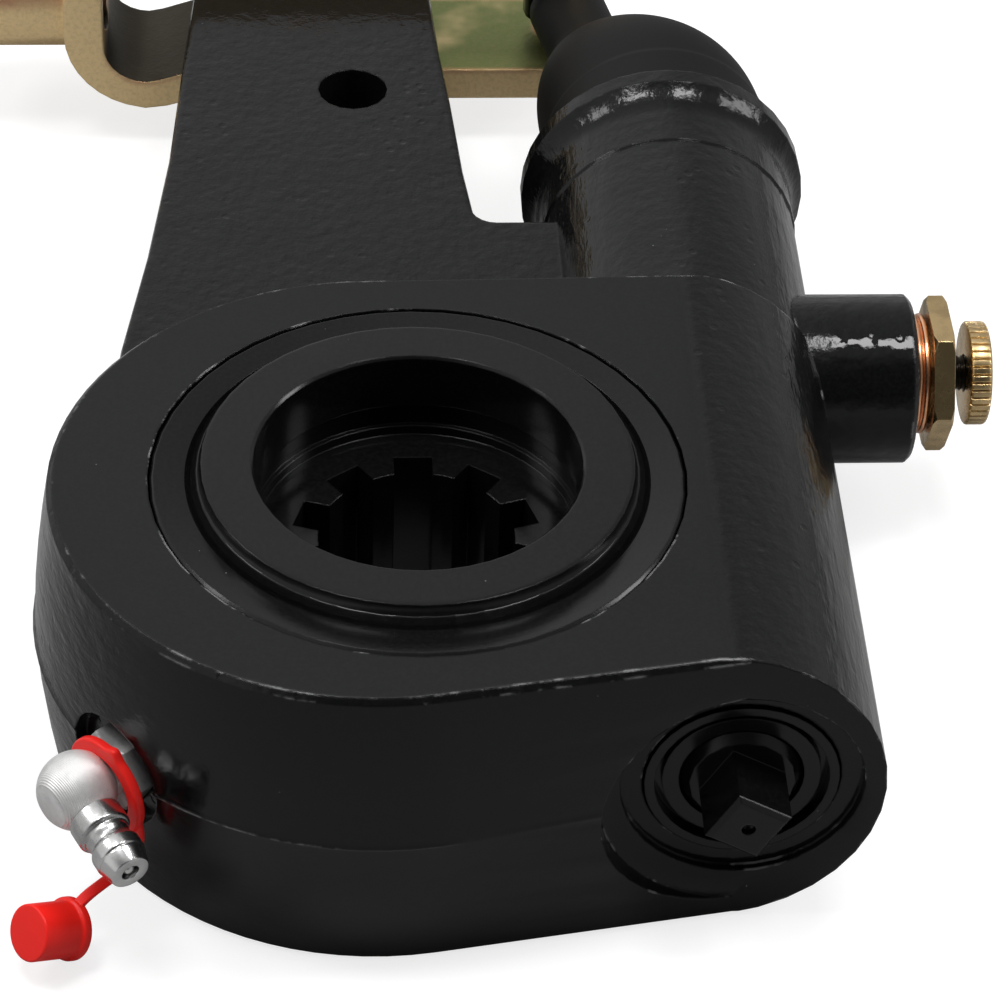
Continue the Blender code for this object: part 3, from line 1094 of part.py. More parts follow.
def make_materials():
    """The finishes of the real pieces."""
    return {
        "paint": material("black_paint", (0.012, 0.012, 0.013), 0.0, 0.32),
        "gear": material("black_oxide", (0.02, 0.02, 0.021), 0.6, 0.38),
        "black_steel": material("black_steel", (0.018, 0.018, 0.019), 0.5, 0.35),
        "rubber": material("black_rubber", (0.02, 0.02, 0.02), 0.0, 0.6),
        "bronze": material("bearing_bronze", (0.55, 0.36, 0.16), 1.0, 0.4),
        "steel": material("bright_steel", (0.62, 0.62, 0.62), 1.0, 0.25),
        "brass": material("brass", (0.72, 0.52, 0.22), 1.0, 0.28),
        "copper": material("copper", (0.80, 0.36, 0.20), 1.0, 0.3),
        "zinc": material("yellow_zinc", (0.55, 0.44, 0.20), 0.9, 0.4),
        "red": material("red_plastic", (0.80, 0.03, 0.02), 0.0, 0.35),
    }


def place_on_base(root):
    """Set the middle of the assembly's base at the origin."""
    bpy.context.view_layer.update()
    depsgraph = bpy.context.evaluated_depsgraph_get()
    low = Vector((math.inf,) * 3)
    high = Vector((-math.inf,) * 3)
    for obj in root.children_recursive:
        if obj.type != "MESH" or obj.hide_render:
            continue
        shown = obj.evaluated_get(depsgraph)
        for vertex in shown.data.vertices:
            point = shown.matrix_world @ vertex.co
            low = Vector(min(a, b) for a, b in zip(low, point))
            high = Vector(max(a, b) for a, b in zip(high, point))
    root.location = (-(low.x + high.x) / 2, -(low.y + high.y) / 2, -low.z)
    bpy.context.view_layer.update()


def empty(name, parent, location=(0, 0, 0)):
    """An empty on a joint's axis, which carries the pieces of one moving body."""
    obj = bpy.data.objects.new(name, None)
    bpy.context.scene.collection.objects.link(obj)
    obj.parent = parent
    obj.location = location
    return obj


def main():
    """Build the adjuster."""
    for obj in list(bpy.data.objects):
        bpy.data.objects.remove(obj, do_unlink=True)
    mats = make_materials()
    root = empty("slack_adjuster", None)
    wrist = (WORM_X, WRIST_Y, BODY_MIDDLE)
    gear_body = empty("gear_body", root)
    worm_body = empty("worm_body", root, (WORM_X, 0, BODY_MIDDLE))
    actuator_body = empty("actuator_body", root, (WORM_X, 0, BODY_MIDDLE))
    piston_body = empty("piston_body", root, wrist)
    rod_body = empty("rod_body", root, wrist)
    pawl_body = empty("pawl_body", root, (0, PAWL_Y, BODY_MIDDLE))
    clevis_body = empty("clevis_body", root, (*MAIN_PIVOT, BODY_MIDDLE))
    make_housing(root, mats["paint"])
    make_gear(root, gear_body, mats)
    make_worm(root, worm_body, mats)
    make_actuator(actuator_body, piston_body, rod_body, mats)
    make_boot(root, mats["rubber"])
    make_pawl(root, pawl_body, mats)
    make_clevis(clevis_body, mats)
    make_arm_bush(root, mats["bronze"])
    make_grease_fitting(root, mats)
    heal(root.children_recursive)
    place_on_base(root)


main()
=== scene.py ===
import json
import math

import bmesh
import bpy
import numpy as np
from mathutils import Matrix, Vector


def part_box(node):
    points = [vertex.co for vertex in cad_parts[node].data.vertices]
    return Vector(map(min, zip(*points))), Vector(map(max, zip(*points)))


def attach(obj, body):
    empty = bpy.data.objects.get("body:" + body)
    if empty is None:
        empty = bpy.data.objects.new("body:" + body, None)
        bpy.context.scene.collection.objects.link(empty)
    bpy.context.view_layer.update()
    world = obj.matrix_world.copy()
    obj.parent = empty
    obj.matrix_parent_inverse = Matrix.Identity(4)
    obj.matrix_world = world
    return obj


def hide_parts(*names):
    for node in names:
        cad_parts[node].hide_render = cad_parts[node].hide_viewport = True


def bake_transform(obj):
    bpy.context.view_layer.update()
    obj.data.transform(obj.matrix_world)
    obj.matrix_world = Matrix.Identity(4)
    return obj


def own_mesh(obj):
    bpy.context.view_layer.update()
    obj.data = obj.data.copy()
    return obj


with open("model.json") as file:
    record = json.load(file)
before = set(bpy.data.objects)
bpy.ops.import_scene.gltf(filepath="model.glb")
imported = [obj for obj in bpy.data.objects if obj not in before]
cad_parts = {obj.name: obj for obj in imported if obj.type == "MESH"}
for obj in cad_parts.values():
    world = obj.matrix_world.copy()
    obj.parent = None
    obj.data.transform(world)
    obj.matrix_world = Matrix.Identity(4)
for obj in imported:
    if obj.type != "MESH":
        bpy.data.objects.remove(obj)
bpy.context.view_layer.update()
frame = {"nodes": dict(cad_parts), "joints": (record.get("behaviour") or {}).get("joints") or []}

bl_info = {
    "name": "Brake slack adjuster finish",
    "version": (1, 0, 0),
    "blender": (4, 5, 0),
    "location": "3D View > Sidebar > Adjuster",
    "description": "Paint, metals, rubber boot, stage and camera for a brake slack adjuster",
    "category": "Object",
}

MM = 0.001
JOINTS = {joint["name"]: joint for joint in frame["joints"]}
GEAR_AXIS = JOINTS["gear_turn"]["pos_m"]
MIDDLE_Z = GEAR_AXIS[2]
FACE_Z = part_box("housing")[1][2]
WORM_X = JOINTS["worm_turn"]["pos_m"][0]
BOSS_START = WORM_X + 21 * MM
FLANGE_RADIUS = 0.5 * (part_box("worm_gear")[1][0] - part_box("worm_gear")[0][0])
HUB_RADIUS = FLANGE_RADIUS - 7.7 * MM
WRIST = np.array(JOINTS["rod_swing"]["pos_m"])
SMALL_PIN = np.mean(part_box("small_clevis_pin"), axis=0)


def place(x, y, z):
    """A point given in millimetres from the gear's axis at the machined face, in the frame."""
    return Vector((GEAR_AXIS[0] + x * MM, GEAR_AXIS[1] + y * MM, FACE_Z + z * MM))


def unit(way):
    """Arrows cut to length one."""
    way = np.array(way, dtype=float)
    return way / np.linalg.norm(way, axis=-1, keepdims=True)


# Painted shade on the yoke's inner wall left of this; a highlight painted as light chips on edges in front of
# this
PAINTED_SHADE_X = place(-34, 0, 0).x
HIGHLIGHT_CHIPS_END_Y = place(0, 60, 0).y

# The boot's stations along the barrel and the rod
BOOT_SEAT_Y = place(0, 104.9, 0).y
BOOT_CUP_END = place(0, 120.0, 0).y
BOOT_STEP_Y = place(0, 122.4, 0).y
BOOT_NECK_START = place(0, 148.5, 0).y
BOOT_NECK_END = place(0, 166.5, 0).y
BOOT_DOME_POWER = 3.2
BOOT_LEAN_POWER = 2.1
ROD_RADIUS = 4.0 * MM
BOOT_PLAY = 1.4 * MM

# The point on the pull pawl's axis from which the heights along it are measured
PAWL_BASE = np.array(place(0, 56.2, 0))
PAWL_BASE[2] = MIDDLE_Z

# The grease fitting's seat and directions, and its ball in millimetres from the seat
FITTING_ANGLE = math.radians(220.3)
OUTWARD = np.array([math.cos(FITTING_ANGLE), math.sin(FITTING_ANGLE), 0.0])
TANGENT = np.array([-OUTWARD[1], OUTWARD[0], 0.0])
UP = np.array([0.0, 0.0, 1.0])
FITTING_SEAT = np.array(place(-6.3, -0.6, -27.8)) + OUTWARD * 49.1 * MM
BALL_HEIGHT = 9.2
BALL_RADIUS = 6.0
BALL_CENTRE = FITTING_SEAT + OUTWARD * BALL_HEIGHT * MM
NIPPLE_WAY = unit(TANGENT * 0.969 - UP * 0.143 + OUTWARD * 0.195)
RING_DROP = unit(TANGENT * 0.77 - UP * 0.635) * 1.6 * MM
CAP_CENTRE = np.array(place(-55.1, -49.05, -46.1))
CAP_WAY = unit((-0.73, -0.52, 0.44))
STRAP_ANGLE = math.radians(20)

# Dust on paint, steel and rubber, a highlight painted as light chips on edges, painted shade on the yoke's
# wall, and the bearings' bronze
PAINT_DUST = (0.16, 0.16, 0.155)
STEEL_DUST = (0.12, 0.12, 0.12)
RUBBER_DUST = (0.10, 0.10, 0.095)
CHIP_HIGHLIGHT_GREY = (0.32, 0.32, 0.32)
PAINTED_SHADE_ZINC = (0.045, 0.036, 0.022)
BRONZE = (0.42, 0.26, 0.11)

# The surround's light, what mirrors see beyond it, what they lose on the right, and the room's dark way
SURROUND_LIGHT = 0.42
MIRROR_LIGHT = 0.38
MIRROR_LOSS = 0.36
ROOM_LOSS = 0.92
ROOM_WAY = unit((0, -0.84, 0.54))

# The floor's glow to the camera and in mirrors
FLOOR_GLOW = 0.76
FLOOR_MIRRORED = 0.02

# Points nearer than this become one, and faces that turn by less than this become one
SAME_POINT = 0.004 * MM
FLAT_TURN = math.radians(0.4)


class Wire:
    """A shader socket that does sums: an expression on wires adds its Math nodes."""

    def __init__(self, finish, socket):
        self.finish = finish
        self.socket = socket

    def sum(self, operation, first, second=0.0, third=0.0):
        """One Math node."""
        return self.finish.node("ShaderNodeMath", {"operation": operation}, {0: first, 1: second, 2: third})

    def __add__(self, other):
        return self.sum("ADD", self, other)

    def __radd__(self, other):
        return self.sum("ADD", other, self)

    def __sub__(self, other):
        return self.sum("SUBTRACT", self, other)

    def __rsub__(self, other):
        return self.sum("SUBTRACT", other, self)

    def __mul__(self, other):
        return self.sum("MULTIPLY", self, other)

    def __rmul__(self, other):
        return self.sum("MULTIPLY", other, self)

    def __neg__(self):
        return self.sum("MULTIPLY", self, -1.0)

    def size(self):
        """The value without its sign."""
        return self.sum("ABSOLUTE", self)

    def wave(self):
        """The sine of the value."""
        return self.sum("SINE", self)

    def root(self):
        """The square root of the value."""
        return self.sum("SQRT", self)

    def ramp(self, low, high, start=0.0, end=1.0):
        """A smooth step: start below low, end above high."""
        return self.finish.node(
            "ShaderNodeMapRange", {"interpolation_type": "SMOOTHSTEP"},
            {"Value": self, "From Min": low, "From Max": high, "To Min": start, "To Max": end})


class Nodes:
    """A shader tree whose nodes all come from one method."""

    def __init__(self, tree):
        self.tree = tree

    def put(self, socket, value):
        """Set a socket to a value, or link it to a wire."""
        if isinstance(value, Wire):
            self.tree.links.new(value.socket, socket)
        elif hasattr(value, "__len__") and len(value) == 3 and socket.type == "RGBA":
            socket.default_value = (*value, 1.0)
        else:
            socket.default_value = value

    def node(self, kind, settings=None, values=None, out=0):
        """Add a node: its settings first, then the values or links of its sockets. Return an output."""
        node = self.tree.nodes.new(kind)
        for name, value in (settings or {}).items():
            setattr(node, name, value)
        for key, value in (values or {}).items():
            self.put(node.inputs[key], value)
        return Wire(self, node.outputs[out])

    def at(self):
        """Object coordinates, in metres."""
        return self.node("ShaderNodeTexCoord", out="Object")

    def axis(self, vector, out):
        """One part of a vector: 0, 1 or 2."""
        return self.node("ShaderNodeSeparateXYZ", None, {0: vector}, out)

    def turned(self, angles, scale=(1, 1, 1)):
        """Object coordinates turned by angles in degrees, then stretched."""
        turn = [math.radians(angle) for angle in angles]
        return self.node("ShaderNodeMapping", None, {"Vector": self.at(), "Rotation": turn, "Scale": scale})

    def noise(self, grain, detail=2.0, roughness=0.5, vector=None):
        """Noise whose features are about one grain across, in metres."""
        values = {"Vector": vector or self.at(), "Scale": 0.6 / grain}
        return self.node("ShaderNodeTexNoise", None, {**values, "Detail": detail, "Roughness": roughness})

    def cells(self, grain, vector=None):
        """Distance to the nearest of scattered points, about one grain apart, as a share of the grain."""
        values = {"Vector": vector or self.at(), "Scale": 1.0 / grain}
        return self.node("ShaderNodeTexVoronoi", None, values)

    def blend(self, amount, first, second):
        """A colour between two, by amount."""
        return self.node("ShaderNodeMix", {"data_type": "RGBA"}, {0: amount, 6: first, 7: second}, 2)

    def bump(self, *layers, edge=0.0):
        """Bumps one over the other: pairs of a height wire and its depth in metres."""
        normal = self.node("ShaderNodeBevel", {"samples": 4}, {"Radius": edge}) if edge else None
        for height, depth in layers:
            values = {"Height": height, "Distance": depth, "Strength": 1.0}
            if normal:
                values["Normal"] = normal
            normal = self.node("ShaderNodeBump", None, values)
        return normal


class Finish(Nodes):
    """A material with a Principled shader."""

    def __init__(self, name, **constants):
        self.material = bpy.data.materials.new(name)
        self.material.use_nodes = True
        super().__init__(self.material.node_tree)
        self.shader = self.tree.nodes["Principled BSDF"]
        self.set(**constants)

    def set(self, **values):
        """Link or set the Principled shader's sockets."""
        for key, value in values.items():
            self.put(self.shader.inputs[key.replace("_", " ").title().replace("Ior", "IOR")], value)
        return self.material


def shade(colour, amount):
    """A colour made darker or lighter."""
    return [part * amount for part in colour]


def grid_faces(rows, columns, along=False):
    """Quads over a grid of points that closes around its columns, and along its rows if asked."""
    index = np.arange(rows * columns).reshape(rows, columns)
    index = np.concatenate([index, index[:, :1]], axis=1)
    if along:
        index = np.concatenate([index, index[:1]], axis=0)
    return np.stack([index[:-1, :-1], index[:-1, 1:], index[1:, 1:], index[1:, :-1]], axis=-1).reshape(-1, 4)


def shell(name, *grids, along=()):
    """One mesh of closed skins, each a grid of points (rows, columns, 3).

    A skin closes around its columns. One whose place is listed in along closes along its rows too;
    the others begin and end in a point or in a flat end. Doubled points are merged and faces turned out.
    """
    bm = bmesh.new()
    for place_in_list, grid in enumerate(grids):
        closed = place_in_list in along
        rows, columns = grid.shape[:2]
        faces = grid_faces(rows, columns, closed).tolist()
        if not closed:
            faces.append(list(range(columns))[::-1])
            faces.append(list(range((rows - 1) * columns, rows * columns)))
        mesh = bpy.data.meshes.new(name)
        mesh.from_pydata(grid.reshape(-1, 3).tolist(), [], faces)
        part = bmesh.new()
        part.from_mesh(mesh)
        bpy.data.meshes.remove(mesh)
        bmesh.ops.remove_doubles(part, verts=part.verts, dist=1e-7)
        bmesh.ops.recalc_face_normals(part, faces=part.faces)
        joined = bpy.data.meshes.new(name)
        part.to_mesh(joined)
        part.free()
        bm.from_mesh(joined)
        bpy.data.meshes.remove(joined)
    result = bpy.data.meshes.new(name)
    bm.to_mesh(result)
    bm.free()
    return result


def spokes(way):
    """Two arrows square to a direction and to each other, and the direction itself."""
    return np.array(Vector(way).to_track_quat("Z", "Y").to_matrix()).T


def turned(radius, height, base, way, steps=96):
    """Points round a line: base + height * way + radius * spoke(angle).

    The radius may change with the angle too, as an array of rows and columns.
    """
    angles = np.linspace(0, 2 * np.pi, steps, endpoint=False)
    first, second, along = spokes(way)
    radius = np.broadcast_to(radius, (len(height), steps))
    across = (radius * np.cos(angles))[..., None] * first + (radius * np.sin(angles))[..., None] * second
    return np.array(base) + np.array(height)[:, None, None] * along + across


def lathe(profile, base, way, steps=96):
    """Turn (radius, height) pairs in millimetres about a line."""
    profile = np.array(profile) * MM
    return turned(profile[:, :1], profile[:, 1], base, way, steps)


def rounded(profile, cut, steps=4, closed=False):
    """A profile with its corners rounded: a quadratic curve from a cut before each to a cut after it."""
    points = np.array(profile, dtype=float)
    if closed:
        points = np.concatenate([points[-1:], points, points[:1]])
    corner = points[1:-1]
    back, ahead = points[:-2] - corner, points[2:] - corner
    back_length = np.linalg.norm(back, axis=1, keepdims=True)
    ahead_length = np.linalg.norm(ahead, axis=1, keepdims=True)
    reach = np.minimum(cut, 0.45 * np.minimum(back_length, ahead_length))
    start = corner + back / back_length * reach
    end = corner + ahead / ahead_length * reach
    share = np.linspace(0, 1, steps + 1)[None, :, None]
    rest = 1 - share
    curve = rest ** 2 * start[:, None] + 2 * share * rest * corner[:, None] + share ** 2 * end[:, None]
    curve = curve.reshape(-1, 2)
    return curve if closed else np.concatenate([points[:1], curve, points[-1:]])


def swept(path, section, reference):
    """Carry a flat section along a path: path + section x * side + section y * lift.

    The side is square to the path and to a reference arrow, and the lift is square to both.
    """
    tangent = unit(np.gradient(path, axis=0))
    side = unit(np.cross(tangent, reference))
    lift = np.cross(side, tangent)
    return path[:, None] + section[None, :, :1] * side[:, None] + section[None, :, 1:] * lift[:, None]


def bezier(points, steps):
    """Points on a cubic curve: the four points weighted by share and what is left of it."""
    share = np.linspace(0, 1, steps)[:, None]
    rest = 1 - share
    first, second, third, fourth = (np.array(point) for point in points)
    return (
        rest ** 3 * first + 3 * share * rest ** 2 * second
        + 3 * share ** 2 * rest * third + share ** 3 * fourth)


def add_piece(name, mesh, material, body, slot, *replaced, smooth_angle=35):
    """Link a finished mesh as a piece that stands for its nodes and rides a body, if one is given."""
    piece = bpy.data.objects.new(name, mesh)
    bpy.context.scene.collection.objects.link(piece)
    mesh.materials.append(material)
    mesh.shade_smooth()
    mesh.set_sharp_from_angle(angle=math.radians(smooth_angle))
    if body:
        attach(piece, body)
    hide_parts(*replaced)
    return piece


def smooth_copy(node, material, body, slot, smooth_angle=30):
    """The node's own shape as one smooth piece: its triangles over shared points, flat neighbours as one."""
    source = frame["nodes"][node].data
    points = np.empty(len(source.vertices) * 3)
    source.vertices.foreach_get("co", points)
    points = points.reshape(-1, 3)
    corners = np.empty(len(source.loops), dtype=np.int32)
    source.loops.foreach_get("vertex_index", corners)
    keys = np.round(points / (0.5 * SAME_POINT)).astype(np.int64)
    _, first, shared = np.unique(keys, axis=0, return_index=True, return_inverse=True)
    triangles = shared.reshape(-1)[corners].reshape(-1, 3)
    whole = (triangles != np.roll(triangles, 1, axis=1)).all(axis=1)
    mesh = bpy.data.meshes.new(f"{node}_surface")
    mesh.from_pydata(points[first].tolist(), [], triangles[whole].tolist())
    bm = bmesh.new()
    bm.from_mesh(mesh)
    bmesh.ops.remove_doubles(bm, verts=bm.verts, dist=SAME_POINT)
    bmesh.ops.dissolve_limit(bm, angle_limit=FLAT_TURN, verts=bm.verts, edges=bm.edges)
    bm.to_mesh(mesh)
    bm.free()
    piece = add_piece(f"{node}_surface", mesh, material, body, slot, node, smooth_angle=smooth_angle)
    weighted = piece.modifiers.new("Weighted normals", "WEIGHTED_NORMAL")
    weighted.keep_sharp = True
    weighted.weight = 80
    return piece


class AdjusterColours(bpy.types.PropertyGroup):
    """Colours of the adjuster's finishes."""

    paint: bpy.props.FloatVectorProperty(
        name="Paint", description="Black paint on the casting", subtype="COLOR",
        default=(0.0040, 0.0041, 0.0044))
    oxide: bpy.props.FloatVectorProperty(
        name="Black oxide", description="Blackened machined steel", subtype="COLOR",
        default=(0.0040, 0.0040, 0.0043))
    rubber: bpy.props.FloatVectorProperty(
        name="Rubber", description="Boot rubber", subtype="COLOR", default=(0.0045, 0.0045, 0.0045))
    brass: bpy.props.FloatVectorProperty(
        name="Brass", description="Cap screw and knob", subtype="COLOR", default=(0.70, 0.51, 0.26))
    copper: bpy.props.FloatVectorProperty(
        name="Copper", description="Folded washer", subtype="COLOR", default=(1.0, 0.52, 0.30))
    steel: bpy.props.FloatVectorProperty(
        name="Steel", description="Grease fitting and other bright steel", subtype="COLOR",
        default=(0.84, 0.835, 0.83))
    red: bpy.props.FloatVectorProperty(
        name="Red plastic", description="Grease cap", subtype="COLOR", default=(1.0, 0.02, 0.014))
    zinc_tan: bpy.props.FloatVectorProperty(
        name="Zinc tan", description="Yellow zinc where it is thick", subtype="COLOR",
        default=(0.98, 0.74, 0.40))
    zinc_green: bpy.props.FloatVectorProperty(
        name="Zinc green", description="Yellow zinc where it is green", subtype="COLOR",
        default=(0.20, 0.24, 0.08))
    # Zinc blush together with a painted highlight on the clevis's rounded edges
    zinc_pink_highlight: bpy.props.FloatVectorProperty(
        name="Zinc pink", description="Yellow zinc's blush at edges", subtype="COLOR",
        default=(0.60, 0.27, 0.17))


class AdjusterSizes(bpy.types.PropertyGroup):
    """Sizes that the finishes, the boot and the small fittings are made to."""

    cast_grain: bpy.props.FloatProperty(
        name="Cast grain", description="Distance between bumps on cast walls", unit="LENGTH",
        default=1.3 * MM)
    cast_depth: bpy.props.FloatProperty(
        name="Cast depth", description="Height of bumps on cast walls", unit="LENGTH", default=0.16 * MM)
    edge_round: bpy.props.FloatProperty(
        name="Edge round", description="Radius of the paint over edges", unit="LENGTH", default=0.6 * MM)
    boot_radius: bpy.props.FloatProperty(
        name="Boot radius", description="Outer radius of the boot's cup", unit="LENGTH", default=20.1 * MM)
    boot_neck: bpy.props.FloatProperty(
        name="Boot neck", description="Outer radius of the boot's neck", unit="LENGTH", default=7.0 * MM)
    boot_wall: bpy.props.FloatProperty(
        name="Boot wall", description="Thickness of the boot's rubber", unit="LENGTH", default=2.0 * MM)
    boot_step: bpy.props.FloatProperty(
        name="Boot step", description="Height of the step round the cup", unit="LENGTH", default=0.35 * MM)
    knob_ribs: bpy.props.IntProperty(
        name="Knob ribs", description="Number of ribs round the pull knob", default=40, min=3)
    thread_pitch: bpy.props.FloatProperty(
        name="Thread pitch", description="Pitch of the pawl stem's thread", unit="LENGTH", default=0.8 * MM)


class AdjusterStage(bpy.types.PropertyGroup):
    """The camera and the floor."""

    elevation: bpy.props.FloatProperty(
        name="Elevation", description="Camera's angle above the floor", subtype="ANGLE",
        default=math.radians(40.337))
    azimuth: bpy.props.FloatProperty(
        name="Azimuth", description="Camera's turn about the vertical", subtype="ANGLE",
        default=math.radians(-4.190))
    roll: bpy.props.FloatProperty(
        name="Roll", description="Camera's turn about its own axis", subtype="ANGLE",
        default=math.radians(2.191))
    distance: bpy.props.FloatProperty(
        name="Distance", description="Camera to the point it looks at", unit="LENGTH", default=595.69 * MM)
    target: bpy.props.FloatVectorProperty(
        name="Target", description="Point looked at, from the gear's axis at the machined face",
        subtype="XYZ", unit="LENGTH", default=(12.012 * MM, -6.242 * MM, 0.0))
    lens: bpy.props.FloatProperty(
        name="Lens", description="Focal length on a 36 mm sensor, in millimetres", default=144.0)
    floor: bpy.props.FloatVectorProperty(
        name="Floor", description="Floor colour", subtype="COLOR", default=(0.36, 0.36, 0.36))


def paint_finish(name, colours, sizes):
    """Black enamel: pebbled on the arm, streaked on the sides, smooth in front, fine on machined faces.

    It runs glossy over the pawl's boss, and a highlight is painted as light grey chips along the edges in
    front of the barrel.
    """
    finish = Finish(name, specular_ior_level=0.24)
    height = finish.axis(finish.at(), 2)
    facing = finish.node("ShaderNodeNewGeometry", out="Normal")
    up = finish.axis(facing, 2)
    machined = (height - (FACE_Z - 0.3 * MM)).ramp(0.0, 0.2 * MM) * up.ramp(0.9, 0.97)
    calm = 1.0 - (-finish.axis(facing, 1)).ramp(0.5, 0.8) * 0.75
    rough = (1.0 - machined) * calm
    across = finish.axis(facing, 0).size().ramp(0.25, 0.8)
    pebble = finish.noise(sizes.cast_grain, 3.0, 0.5)
    streak = finish.noise(sizes.cast_grain, 3.0, 0.55, finish.turned((35, 0, 0), (1, 0.22, 1)))
    pits = finish.cells(3.4 * MM).ramp(0.10, 0.26, -1.0, 0.0) * finish.noise(14 * MM).ramp(0.38, 0.62)
    grain = finish.noise(0.35 * MM)
    wide = finish.noise(7 * MM)
    boss = (finish.axis(finish.at(), 0) - BOSS_START).ramp(0.0, 3 * MM)
    drip = finish.noise(1.5 * MM, 1.5, 0.5)
    dust = finish.cells(5 * MM).ramp(0.012, 0.03, 1.0, 0.0) * finish.noise(11 * MM).ramp(0.46, 0.6)
    tone = finish.blend(grain.ramp(0.3, 0.75), shade(colours.paint, 0.8), shade(colours.paint, 1.3))
    normal = finish.bump(
        (wide * rough, 0.16 * MM),
        (pebble * rough * (1.0 - boss) * (1.0 - 0.7 * across), sizes.cast_depth),
        (drip * boss, 0.8 * sizes.cast_depth),
        (streak * rough * across, 1.6 * sizes.cast_depth),
        (pits * rough, 0.06 * MM),
        (grain, 0.005 * MM),
        edge=sizes.edge_round)
    # Painted highlight: light grey chips where the rounded edge bends away from the face, only in front of
    # the barrel
    soft_edge = finish.node("ShaderNodeBevel", {"samples": 4}, {"Radius": sizes.edge_round})
    bend = finish.node("ShaderNodeVectorMath", {"operation": "DOT_PRODUCT"}, {0: soft_edge, 1: facing}, 1)
    near_front = (HIGHLIGHT_CHIPS_END_Y - finish.axis(finish.at(), 1)).ramp(0.0, 10 * MM)
    chip_highlight = bend.ramp(0.90, 0.98, near_front, 0.0) * finish.noise(6 * MM, 4.0, 0.7).ramp(0.52, 0.62)
    dusted = finish.blend(dust, tone, PAINT_DUST)
    gloss = 0.11 - boss * 0.08 + machined * 0.2 + finish.noise(3 * MM, 3.0) * 0.08 * (1.0 - boss)
    return finish.set(base_color=finish.blend(chip_highlight, dusted, CHIP_HIGHLIGHT_GREY), roughness=gloss, normal=normal)


def machined_finish(name, colour, centre, axis=2, roughness=0.12, dish=0.0):
    """Blackened steel with turning lines round an axis through a centre: 0, 1 or 2 for x, y or z.

    A dish is the slope by which the flange outside the hub leans in to the axis.
    """
    finish = Finish(name, specular_ior_level=0.26)
    from_axis = finish.node("ShaderNodeVectorMath", {"operation": "SUBTRACT"}, {0: finish.at(), 1: centre})
    first, second = (finish.axis(from_axis, side) for side in range(3) if side != axis)
    radius = (first * first + second * second).root()
    along = finish.axis(from_axis, axis)
    lines = finish.noise(0.5 * MM, 3.0, 0.6, finish.node("ShaderNodeCombineXYZ", None, {0: radius, 1: along}))
    speck = finish.noise(0.4 * MM)
    dust = finish.cells(6 * MM).ramp(0.01, 0.025, 1.0, 0.0)
    tone = finish.blend(speck.ramp(0.3, 0.75), shade(colour, 0.8), shade(colour, 1.35))
    layers = [(lines, 0.004 * MM), (speck, 0.005 * MM)]
    if dish:
        layers.insert(0, (radius * (radius - HUB_RADIUS).ramp(0.5 * MM, 2.5 * MM), dish))
    normal = finish.bump(*layers, edge=0.35 * MM)
    dusted = finish.blend(dust, tone, STEEL_DUST)
    return finish.set(base_color=dusted, roughness=roughness + lines * 0.1, normal=normal)


def rubber_finish(name, colour):
    """Matte moulded rubber with dust specks."""
    finish = Finish(name, specular_ior_level=0.15)
    speck = finish.noise(0.5 * MM, 3.0, 0.6)
    dust = finish.cells(6 * MM).ramp(0.015, 0.035, 1.0, 0.0)
    tone = finish.blend(speck, shade(colour, 0.8), shade(colour, 1.3))
    normal = finish.bump((finish.noise(2.5 * MM), 0.02 * MM), (speck, 0.012 * MM), edge=0.3 * MM)
    dusted = finish.blend(dust, tone, RUBBER_DUST)
    return finish.set(base_color=dusted, roughness=0.5 + speck * 0.12, normal=normal)


def metal_finish(name, colour, roughness=0.2, tarnish=0.25, depth=0.008 * MM, lines=None, metallic=1.0):
    """Bright metal with small scratches, pits and a patchy tarnish; lines is a height wire's maker."""
    finish = Finish(name, metallic=metallic)
    patch = finish.noise(3 * MM, 4.0, 0.6)
    fine = finish.noise(0.3 * MM, 3.0, 0.6)
    pits = finish.cells(1.3 * MM).ramp(0.04, 0.12, 1.0, 0.0) * patch.ramp(0.5, 0.6)
    worn = finish.blend(patch.ramp(0.35, 0.7), colour, shade(colour, 1.0 - tarnish))
    tone = finish.blend(pits * 0.7, worn, shade(colour, 0.3))
    layers = [(finish.noise(2.2 * MM), 0.03 * MM), (fine, 0.01 * MM if lines else depth)]
    if lines:
        layers.append((lines(finish), 0.5 * depth))
    gloss = roughness + patch.ramp(0.3, 0.8) * 0.12 + fine * 0.06
    return finish.set(base_color=tone, roughness=gloss, normal=finish.bump(*layers, edge=0.2 * MM))


def turning_lines(finish):
    """Rings round the grease fitting's axis, a quarter of a millimetre apart."""
    from_seat = finish.node(
        "ShaderNodeVectorMath", {"operation": "SUBTRACT"}, {0: finish.at(), 1: FITTING_SEAT})
    along = finish.node("ShaderNodeVectorMath", {"operation": "DOT_PRODUCT"}, {0: from_seat, 1: OUTWARD}, 1)
    return (along * (2 * math.pi / (0.26 * MM))).wave()


def plastic_finish(name, colour):
    """Glossy moulded plastic, a little uneven."""
    finish = Finish(name, specular_ior_level=0.25)
    sink = finish.noise(3 * MM)
    tone = finish.blend(sink, shade(colour, 0.88), colour)
    normal = finish.bump((sink, 0.04 * MM), (finish.noise(0.6 * MM), 0.006 * MM), edge=0.25 * MM)
    return finish.set(base_color=tone, roughness=0.3 + sink * 0.1, normal=normal)


